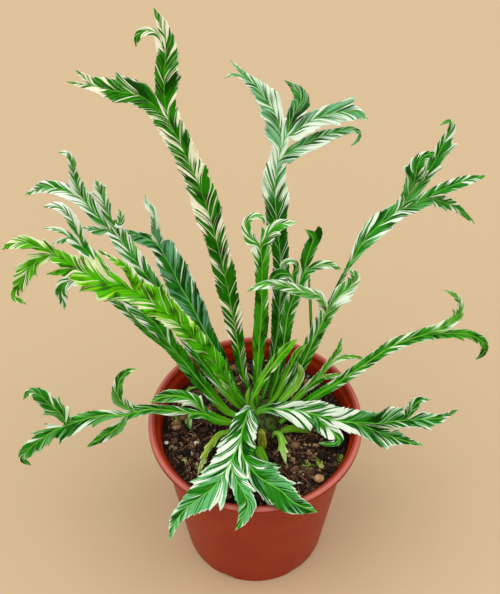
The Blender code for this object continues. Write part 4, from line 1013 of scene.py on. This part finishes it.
def scatter(name, count, sizes, flatness, shade, seed, spread=51.0, keep_off=9.0):
    """Crumbs on the soil: icosahedra with jittered corners, stretched, turned and set on its surface."""
    rng = np.random.default_rng(seed)
    shape, triangles = crumb_shape()
    radius = sizes[0] + (sizes[1] - sizes[0]) * rng.random(count) ** 2.5
    points = shape[None] * (1 + 0.28 * rng.uniform(-1, 1, (count, 12, 1)))
    points = points * (radius[:, None] * np.array(flatness) * rng.uniform(0.75, 1.25, (count, 3)))[:, None]
    points = np.einsum("nij,nkj->nki", random_turns(rng, count), points)
    angle = rng.uniform(0, 2 * math.pi, count)
    out = np.sqrt(rng.uniform(0, 1, count)) * (spread - radius)
    centre = np.stack([out * np.cos(angle), out * np.sin(angle), 0 * out], axis=-1)
    away = centre[:, :2] - np.array(CROWN_CENTRE)
    pushed = np.maximum(np.linalg.norm(away, axis=1), keep_off)
    centre[:, :2] = np.array(CROWN_CENTRE) + unit(away) * pushed[:, None]
    centre[:, 2] = soil_height(centre) + 0.25 * radius
    faces = triangles[None] + (np.arange(count) * 12)[:, None, None]
    piece = add_piece(name, (points + centre[:, None]).reshape(-1, 3), faces.reshape(-1, 3), shade,
                      smooth=False)
    mark(piece, "tone", np.repeat(rng.random(count), 12))
    return piece


def tube_points(path, radius, sides):
    """Rings of points round a path, (rows, sides, 3), with radius one number a row."""
    ahead = unit(np.gradient(path, axis=-2))
    across = unit(np.cross(ahead, np.array([0.3, 0.2, 1.0])))
    over = np.cross(across, ahead)
    angle = 2 * math.pi * np.arange(sides) / sides
    ring = np.cos(angle)[:, None] * across[..., None, :] + np.sin(angle)[:, None] * over[..., None, :]
    return path[..., None, :] + ring * np.asarray(radius)[..., None, None]


def make_fibres(name, count, lengths, radius, shade, seed):
    """Root fibres on the soil: thin three-sided tubes along arcs that lie on its surface."""
    rng = np.random.default_rng(seed)
    rows = 9
    length = rng.uniform(*lengths, count)
    angle = rng.uniform(0, 2 * math.pi, count)
    out = np.sqrt(rng.uniform(0.05, 1, count)) * 46.0
    heading = rng.uniform(0, 2 * math.pi, count)[:, None] + rng.normal(0, 0.9, (count, 1)) * np.linspace(-1, 1, rows)
    stride = np.stack([np.cos(heading), np.sin(heading)], axis=-1) * (length / (rows - 1))[:, None, None]
    start = np.stack([out * np.cos(angle), out * np.sin(angle)], axis=-1)
    flat = start[:, None] + np.cumsum(stride, axis=1) - stride.sum(axis=1, keepdims=True) / 2
    limit = 50.5 / np.maximum(np.linalg.norm(flat, axis=-1, keepdims=True), 50.5)
    path = np.concatenate([flat * limit, np.zeros((count, rows, 1))], axis=-1)
    lift = np.sin(np.linspace(0, math.pi, rows)) * rng.uniform(0.2, 1.6, (count, 1))
    path[..., 2] = soil_height(path) + 0.3 + lift
    taper = radius * np.array([0.15, *np.linspace(1, 0.6, rows - 2), 0.1]) * rng.uniform(0.6, 1.4, (count, 1))
    points = tube_points(path, taper, 3)
    single = grid_faces(rows, 3, wrap=True)
    faces = single[None] + (np.arange(count) * rows * 3)[:, None, None]
    triangles = np.concatenate([faces[..., [0, 2, 1]], faces[..., [0, 3, 2]]]).reshape(-1, 3)
    base = (np.arange(count) * rows * 3)[:, None]
    caps = np.concatenate([base + np.array([0, 1, 2]), base + (rows - 1) * 3 + np.array([0, 2, 1])])
    piece = add_piece(name, points.reshape(-1, 3), np.concatenate([triangles, caps]), shade)
    mark(piece, "tone", np.repeat(rng.random(count), rows * 3))
    return piece


def make_stone(name, x, y, radius, shade, replaced=None):
    """A rounded pebble: a ball flattened to seven tenths, its radius varied by soft lumps."""
    rows, columns = 22, 36
    polar = np.linspace(0, math.pi, rows)[:, None]
    angle = 2 * math.pi * np.arange(columns) / columns
    ball = np.stack([np.sin(polar) * np.cos(angle), np.sin(polar) * np.sin(angle), -np.cos(polar) + 0 * angle], -1)
    ball = ball * (1 + 0.10 * lumps(ball, 0.9, x) + 0.03 * lumps(ball, 0.3, y))[..., None]
    points = ball * radius * np.array([1.0, 0.86, 0.7]) + np.array([x, y, SOIL_TOP + 0.3 + 0.7 * radius])
    welded, faces, _ = weld(points.reshape(-1, 3), grid_faces(rows, columns, wrap=True))
    return add_piece(name, welded, faces, shade, replaced)


def make_crown():
    """The rhizome's dome, roughened with lumps of 3 and 1.2 mm."""
    outline = [(0, CROWN_PROFILE[0][1]), *CROWN_PROFILE, (0, 111.4)]
    profile = rounded(outline, 3.0, 8)
    points = turned(profile, 2 * math.pi * np.arange(90) / 90, CROWN_CENTRE)
    middle = np.array([*CROWN_CENTRE, CROWN_PROFILE[0][1]])
    rough = 0.35 * lumps(points, 3.0, 8) + 0.2 * lumps(points, 1.2, 9)
    points = points + unit(points - middle) * np.minimum(rough, 0.1)[..., None]
    points[..., 2] = np.maximum(points[..., 2], CROWN_PROFILE[0][1])
    welded, faces, _ = weld(points.reshape(-1, 3), grid_faces(*points.shape[:2], wrap=True))
    shade = streaked_material("scaly_rhizome", "2A2E10", "54701C", 0.75, (500.0, 500.0, 160.0))
    return add_piece("crown_dome", welded, faces, shade, "crown")


def make_petiole():
    """The old stalk before the crown: a tube with a blunt, rounded head."""
    heights = np.array([0.0, 0.0, 1.0, 3.0, 6.0, 9.0, 10.4, 11.1, 11.4, 11.4])
    radius = np.array([0.001, 2.5, 2.55, 2.6, 2.35, 2.15, 1.95, 1.4, 0.7, 0.001])
    angle = 2 * math.pi * np.arange(32) / 32
    ring = np.stack([np.cos(angle), np.sin(angle)], axis=-1) * (1 + 0.05 * np.cos(5 * angle))[:, None]
    flat = ring[None] * radius[:, None, None]
    lean = heights[:, None] * (np.array([3.2, -7.6]) - np.array([4.0, -10.2])) / 11.2
    points = np.concatenate([flat + lean[:, None] + np.array([4.0, -10.2]),
                             np.broadcast_to(97.3 + heights[:, None, None], (*flat.shape[:2], 1))], axis=-1)
    welded, faces, _ = weld(points.reshape(-1, 3), grid_faces(*points.shape[:2], wrap=True))
    shade = streaked_material("olive_stalk_tissue", "6E8A14", "BCAE34", 0.5, (900.0, 900.0, 90.0))
    return add_piece("old_stalk", welded, faces, shade, "petiole_stub")


def make_litter():
    """Crumbs, chips and fibres of the peat."""
    peat = crumb_material("peat_crumb", ("100905", "44301F", "96714C"))
    chip = crumb_material("bark_chip", ("2B1A10", "7A563C", "C6A27A"))
    fibre = crumb_material("root_fibre", ("40281A", "8A6242", "C9A77C"), 0.8)
    scatter("peat_crumbs_large", 620, (1.2, 3.6), (1.0, 0.8, 0.7), peat, 11)
    scatter("peat_crumbs_small", 2600, (0.45, 1.3), (1.0, 0.85, 0.7), peat, 12)
    scatter("bark_chips", 520, (0.8, 2.6), (1.5, 0.8, 0.35), chip, 13)
    make_fibres("root_fibres", 240, (5.0, 17.0), 0.26, fibre, 14)
    grit = crumb_material("pale_grit", ("6E6250", "A89A80", "DAD2BC"), 0.75)
    scatter("grit", 110, (0.5, 1.5), (1.0, 0.9, 0.75), grit, 15)


# Fronds

def style(dark, middle, pale, rib, white, grey, turn=(50.0, 110.0), stripe=3.6, slant=2.6, ruffle=0.8,
          teeth=1.0, stalk="64B40C", sliver=0.16, margin=0.35, stalk_end=32.0):
    """Colours and shares of one frond: dark and the shares of white and grey are given low and high up it."""
    return {"dark": dark, "middle": middle, "pale": pale, "rib": rib, "white": white, "grey": grey, "turn": turn,
            "stripe": stripe, "slant": slant, "ruffle": ruffle, "teeth": teeth, "stalk": stalk,
            "sliver": sliver, "margin": margin, "stalk_end": stalk_end}


STYLES = {
    "frond_tall_left": style(("207502", "298403"), "3D8E15", "FAF8D6", "5CB414", (0.27, 0.36), (0.12, 0.2),
                             (80, 170), 3.0, 1.9, 0.7, sliver=0.3, stalk="3A860C"),
    "frond_back_forked": style(("1C6703", "3A8A30"), "7CBE88", "EAF8DF", "74C83C", (0.14, 0.44), (0.08, 0.56),
                               (120, 140), 2.2, 2.2, 0.9, sliver=0.34, stalk="3A860C"),
    "frond_curl_top": style(("389E08", "329810"), "70C047", "E8F8D8", "78C034", (0.16, 0.46), (0.16, 0.4),
                            (106, 126), 3.0, stalk="48980E"),
    "frond_dark_broad": style(("27780A", "2A7C1C"), "6FB082", "EEFAE4", "76CC50", (0.12, 0.24), (0.2, 0.46),
                              (30, 80), 3.2, 1.8, 1.2, stalk="3A860C"),
    "frond_left_high": style(("298607", "30911B"), "7BC469", "F8FFF0", "66BC34", (0.3, 0.5), (0.24, 0.42),
                             (55, 110), 2.8),
    "frond_left_twin": style(("308F0B", "2D8D1B"), "72BE60", "F6FFEE", "70C038", (0.2, 0.46), (0.2, 0.34), stripe=2.8),
    "frond_left_bright": style(("46AE04", "58C404"), "99E71E", "ECF5BE", "3C9006", (0.1, 0.4), (0.25, 0.3),
                               (60, 105), 2.6, 2.1, 2.4, 1.6, "66C00C", 0.28),
    "frond_small_leaning": style(("4EB707", "4EB707"), "83D62C", "EAF8D0", "90D444", (0.2, 0.28), (0.3, 0.3)),
    "frond_crozier": style(("298407", "2B8813"), "64B150", "E8F8DA", "7CC83E", (0.14, 0.3), (0.2, 0.38),
                           (50, 90), 2.8, stalk="3A860C"),
    "frond_loop": style(("349613", "4CA52D"), "88CD70", "ECFAE1", "90D45E", (0.16, 0.38), (0.25, 0.45),
                        (40, 90), 2.8, stalk="3A860C"),
    "frond_right_high": style(("278B0A", "298D17"), "70BB60", "ECFAE1", "7ACA42", (0.1, 0.36), (0.18, 0.34),
                              (50, 110), 2.8, stalk="3A860C"),
    "frond_small_upright": style(("43A507", "43A507"), "7BCD32", "EAF8D4", "84CC3C", (0.22, 0.3), (0.3, 0.3),
                                 (20, 40), 2.2, teeth=1.8),
    "frond_small_curled": style(("6ABD1E", "75C224"), "A5DE5C", "EAF8D4", "90D444", (0.4, 0.45), (0.4, 0.4),
                                (20, 40), 1.8, teeth=1.4),
    "frond_small_forked": style(("43A507", "43A507"), "7BCD32", "EAF8D4", "84CC3C", (0.2, 0.34), (0.3, 0.3),
                                (15, 35), 2.2, teeth=1.8),
    "frond_right_low": style(("38A507", "309312"), "77C04A", "ECFADB", "7ACA36", (0.16, 0.3), (0.18, 0.32),
                             (20, 60), 2.6, stalk_end=22.0),
    "frond_front": style(("29840F", "257D10"), "6ABC70", "EEFBE3", "6CC63A", (0.45, 0.26), (0.3, 0.46),
                         (44, 66), 3.1, 2.0, 1.1, 1.2, "64B40C", 0.26, 0.4, 9.0),
    "frond_right_front": style(("27800C", "207509"), "68B468", "EEFBE3", "6CC63A", (0.42, 0.34), (0.3, 0.44),
                               (52, 74), 3.1, 2.0, 1.1, 1.2, "64B40C", 0.24, 0.4, 12.0),
    "frond_left_low": style(("38A707", "298F13"), "6AB757", "EAF8DD", "7ACA36", (0.2, 0.33), (0.22, 0.36),
                            (24, 60), 2.8, stalk_end=24.0),
    "leaf_speckled": style(("779C11", "779C11"), "B4D640", "DDECAB", "9CBA4E", (0.34, 0.34), (0.45, 0.45),
                           (10, 20), 1.2, 1.4, 0.5, 1.6),
    "leaf_pale": style(("91C21F", "91C21F"), "B8DE51", "E8F5BE", "A8CC64", (0.36, 0.36), (0.5, 0.5),
                       (10, 20), 1.4, 1.6, 0.5, 2.0),
    "leaf_olive": style(("547B09", "547B09"), "7BA622", "C2D288", "90AC3E", (0.15, 0.15), (0.4, 0.4)),
    "leaf_small_front": style(("307D08", "307D08"), "6EAA28", "D3E6AD", "84B23E", (0.2, 0.2), (0.4, 0.4)),
    "leaf_young": style(("86CF20", "86CF20"), "B2E951", "E4F6BE", "A2D460", (0.25, 0.25), (0.4, 0.4)),
}


def make_fronds():
    """Every frond of the table, each in place of its node."""
    for number, (name, (slot, root)) in enumerate(FRONDS.items()):
        look = STYLES[name]
        frond = Frond(root, look, 11 + 13 * number)
        shade = blade_material("fern_blade_" + name.split("_", 1)[1], look, number + 1)
        frond.mesh(name + "_blade", shade, slot, name)


# Small growth that the model leaves to this script

SPROUTS = {
    "sprig_left": seg([(-41, 20, 98.0, 0.5, 0.5), (-40.5, 21, 104, 0.8, 0.8), (-37, 21.5, 109, 1.1, 1.1),
                       (-33, 21, 110.5, 0.4, 0.4)]),
    "sprout_back": seg([(0, 30, 97.8, 0.5, 0.5), (-0.5, 30, 104, 1.0, 1.0), (-2.5, 30, 109, 0.9, 0.9),
                        (-4, 30, 112, 0.3, 0.3)]),
    "sprout_right_inner": seg([(32, 10, 97.6, 0.5, 0.5), (32, 10.5, 102, 1.3, 1.3), (31, 10.5, 106, 1.1, 1.1),
                               (29.5, 10.5, 109, 0.3, 0.3)]),
    "sprout_right_outer": seg([(40, 7, 97.6, 0.5, 0.5), (41, 7.5, 102, 1.4, 1.4), (43, 7.5, 105, 1.2, 1.2),
                               (46, 7, 106, 0.3, 0.3)]),
    "sprout_right_front": seg([(46, 3, 97.6, 0.5, 0.5), (46.5, 3, 101, 1.2, 1.2), (48, 2.5, 103.5, 0.9, 0.9),
                               (50, 2, 104.5, 0.3, 0.3)]),
    "leaflet_blue_green": seg([(24, 33, 97.8, 0.6, 0.6), (24, 33, 112, 0.8, 0.8), (24.5, 33, 124, 1.2, 1.2),
                               (26, 33, 129, 2.6, 2.6), (28, 33, 133, 0.4, 0.4)]),
    "sprout_front": seg([(11, -32, 97.8, 0.5, 0.5), (12, -33, 100.5, 1.0, 1.0), (14, -36, 101, 0.8, 0.8),
                         (15, -38, 100.5, 0.3, 0.3)]),
}
MOSS = [(35.0, -21.5), (47.0, -19.0), (29.5, -24.5), (-30.0, -25.0), (-44.0, 8.0), (43.0, 16.0)]
MOSS_LEAVES = 26
MOSS_SPREAD = 2.6


def make_moss(shade):
    """Tufts of moss: short leaning spindles, thickest in their lower half, scattered round each place."""
    rng = np.random.default_rng(61)
    rows, sides, count = 6, 4, MOSS_LEAVES * len(MOSS)
    foot = np.repeat(np.array(MOSS), MOSS_LEAVES, axis=0) + rng.normal(0, MOSS_SPREAD / 2, (count, 2))
    lean = rng.normal(0, 0.55, (count, 2))
    height = rng.uniform(1.2, 2.8, count)
    t = np.linspace(0, 1, rows)[None, :, None]
    path = np.zeros((count, rows, 3))
    path[..., :2] = foot[:, None] + lean[:, None] * t**1.5 * height[:, None, None]
    path[..., 2] = soil_height(path[:, :1])[:, :] + t[..., 0] * height[:, None]
    radius = np.array([0.2, 0.42, 0.5, 0.42, 0.25, 0.03]) * rng.uniform(0.7, 1.2, (count, 1))
    points = tube_points(path, radius, sides)
    faces = grid_faces(rows, sides, wrap=True)[None] + (np.arange(count) * rows * sides)[:, None, None]
    base = (np.arange(count) * rows * sides)[:, None]
    caps = np.concatenate([base + np.arange(sides), base + (rows - 1) * sides + np.arange(sides)[::-1]])
    piece = add_piece("moss_tufts", points.reshape(-1, 3), np.concatenate([faces[..., ::-1].reshape(-1, 4), caps]),
                      shade)
    mark(piece, "tone", np.repeat(rng.random(count), rows * sides))
    return piece


def make_sprouts():
    """Young fronds that have just unrolled, and moss."""
    look = style(("5CA82C", "5CA82C"), "88C45C", "E8F2CC", "9AD258", (0.25, 0.25), (0.3, 0.3), stalk_end=4.0)
    shade = blade_material("fern_sprout", look, 40)
    for number, (name, root) in enumerate(SPROUTS.items()):
        Frond(root, look, 400 + 13 * number).mesh(name, shade, PALE_GREEN)
    make_moss(crumb_material("moss_leaf", ("3E5E14", "7E9E34", "B4C860"), 0.8))


STONES = [
    ("stone_pale", -33.0, -9.0, 1.7, "B9B39C", "D9D4C0", "tan_stone"),
    ("stone_white", -50.0, -8.5, 1.2, "CFCBBE", "ECE9DF", "grey_stone"),
    ("stone_moss_left", -39.5, -21.0, 1.7, "7E8A3E", "AEB866", "green_stone"),
    ("stone_white_front", 24.0, -35.5, 1.1, "D2CFC2", "EFEDE4", "grey_stone"),
    ("stone_moss_right", 36.5, -24.6, 1.7, "7E8A3E", "B4BC6A", "green_stone"),
]


def make_stones():
    """The three pebbles of the model and five smaller ones."""
    grain = (700.0, 700.0, 700.0)
    for name, x, y, radius, dark, light, slot in STONES:
        make_stone(name, x, y, radius, streaked_material(name + "_grain", dark, light, 0.8, grain))
    for node, x, y, radius, dark, light in (
            ("pebble_grey", -36, -16, 2.2, "77766F", "A3A29A"),
            ("pebble_tan", 35, -33, 2.8, "9C7648", "CDA372"),
            ("pebble_green", 30.5, -28, 1.9, "87923F", "BEC772")):
        slot = {"grey": "grey_stone", "tan": "tan_stone", "green": "green_stone"}[node.split("_")[1]]
        shade = streaked_material(node + "_grain", dark, light, 0.75, grain)
        make_stone(node + "_stone", x, y, radius, shade, node)


# Stage: camera, lights and floor

CAMERA_PLACE = (-3.0, -459.4, 748.0)
CAMERA_TILT_DEG = 40.7
PHOTO_FOCUS = 1400.0
PHOTO_HEIGHT = 594.0
SENSOR = 36.0


def make_stage():
    """Camera at the photograph's angle, plain floor, and broad soft lights from upper left, right and front."""
    camera = bpy.data.cameras.new("view")
    camera.sensor_fit = "VERTICAL"
    camera.sensor_height = SENSOR
    camera.lens = SENSOR * PHOTO_FOCUS / PHOTO_HEIGHT
    camera.clip_end = 20.0
    viewer = bpy.data.objects.new("view", camera)
    viewer.location = [c * MM for c in CAMERA_PLACE]
    viewer.rotation_euler = (math.radians(CAMERA_TILT_DEG), 0.0, 0.0)
    bpy.context.collection.objects.link(viewer)
    bpy.context.scene.camera = viewer

    ground = np.array([(-3000, -2000, 0), (3000, -2000, 0), (3000, 4000, 0), (-3000, 4000, 0)], float)
    mesh = bpy.data.meshes.new("ground")
    mesh.from_pydata([tuple(p * MM) for p in ground], [], [(0, 1, 2, 3)])
    floor = bpy.data.objects.new("ground", mesh)
    bpy.context.collection.objects.link(floor)
    shade, tree, shader = start_material("matt_tan_paper", 0.9)
    shader.inputs["Base Color"].default_value = linear(FLOOR_COLOUR)
    shader.inputs["Specular IOR Level"].default_value = 0.1
    mesh.materials.append(shade)

    for name, place, power in LIGHTS:
        lamp = bpy.data.lights.new(name, "SUN")
        lamp.angle = math.radians(LIGHT_SPREAD_DEG)
        lamp.energy = power
        holder = bpy.data.objects.new(name, lamp)
        holder.location = place
        holder.rotation_euler = Vector(place).to_track_quat("Z", "Y").to_euler()
        bpy.context.collection.objects.link(holder)
    world = bpy.data.worlds.new("soft_room")
    world.use_nodes = True
    world.node_tree.nodes["Background"].inputs[0].default_value = (1.0, 1.0, 1.0, 1.0)
    world.node_tree.nodes["Background"].inputs[1].default_value = ROOM_LIGHT
    bpy.context.scene.world = world
    bpy.context.scene.view_settings.view_transform = "Standard"


FLOOR_COLOUR = "D1B690"
ROOM_LIGHT = 0.6
LIGHTS = [
    ("key_upper_left", (-0.45, -0.1, 1.0), 0.95),
    ("fill_right", (0.55, -0.05, 1.0), 0.75),
    ("front_top", (0.0, -0.55, 1.0), 0.28),
]
LIGHT_SPREAD_DEG = 45.0


make_stage()
make_pot()
make_soil()
make_crown()
make_petiole()
make_litter()
make_stones()
make_fronds()
make_sprouts()
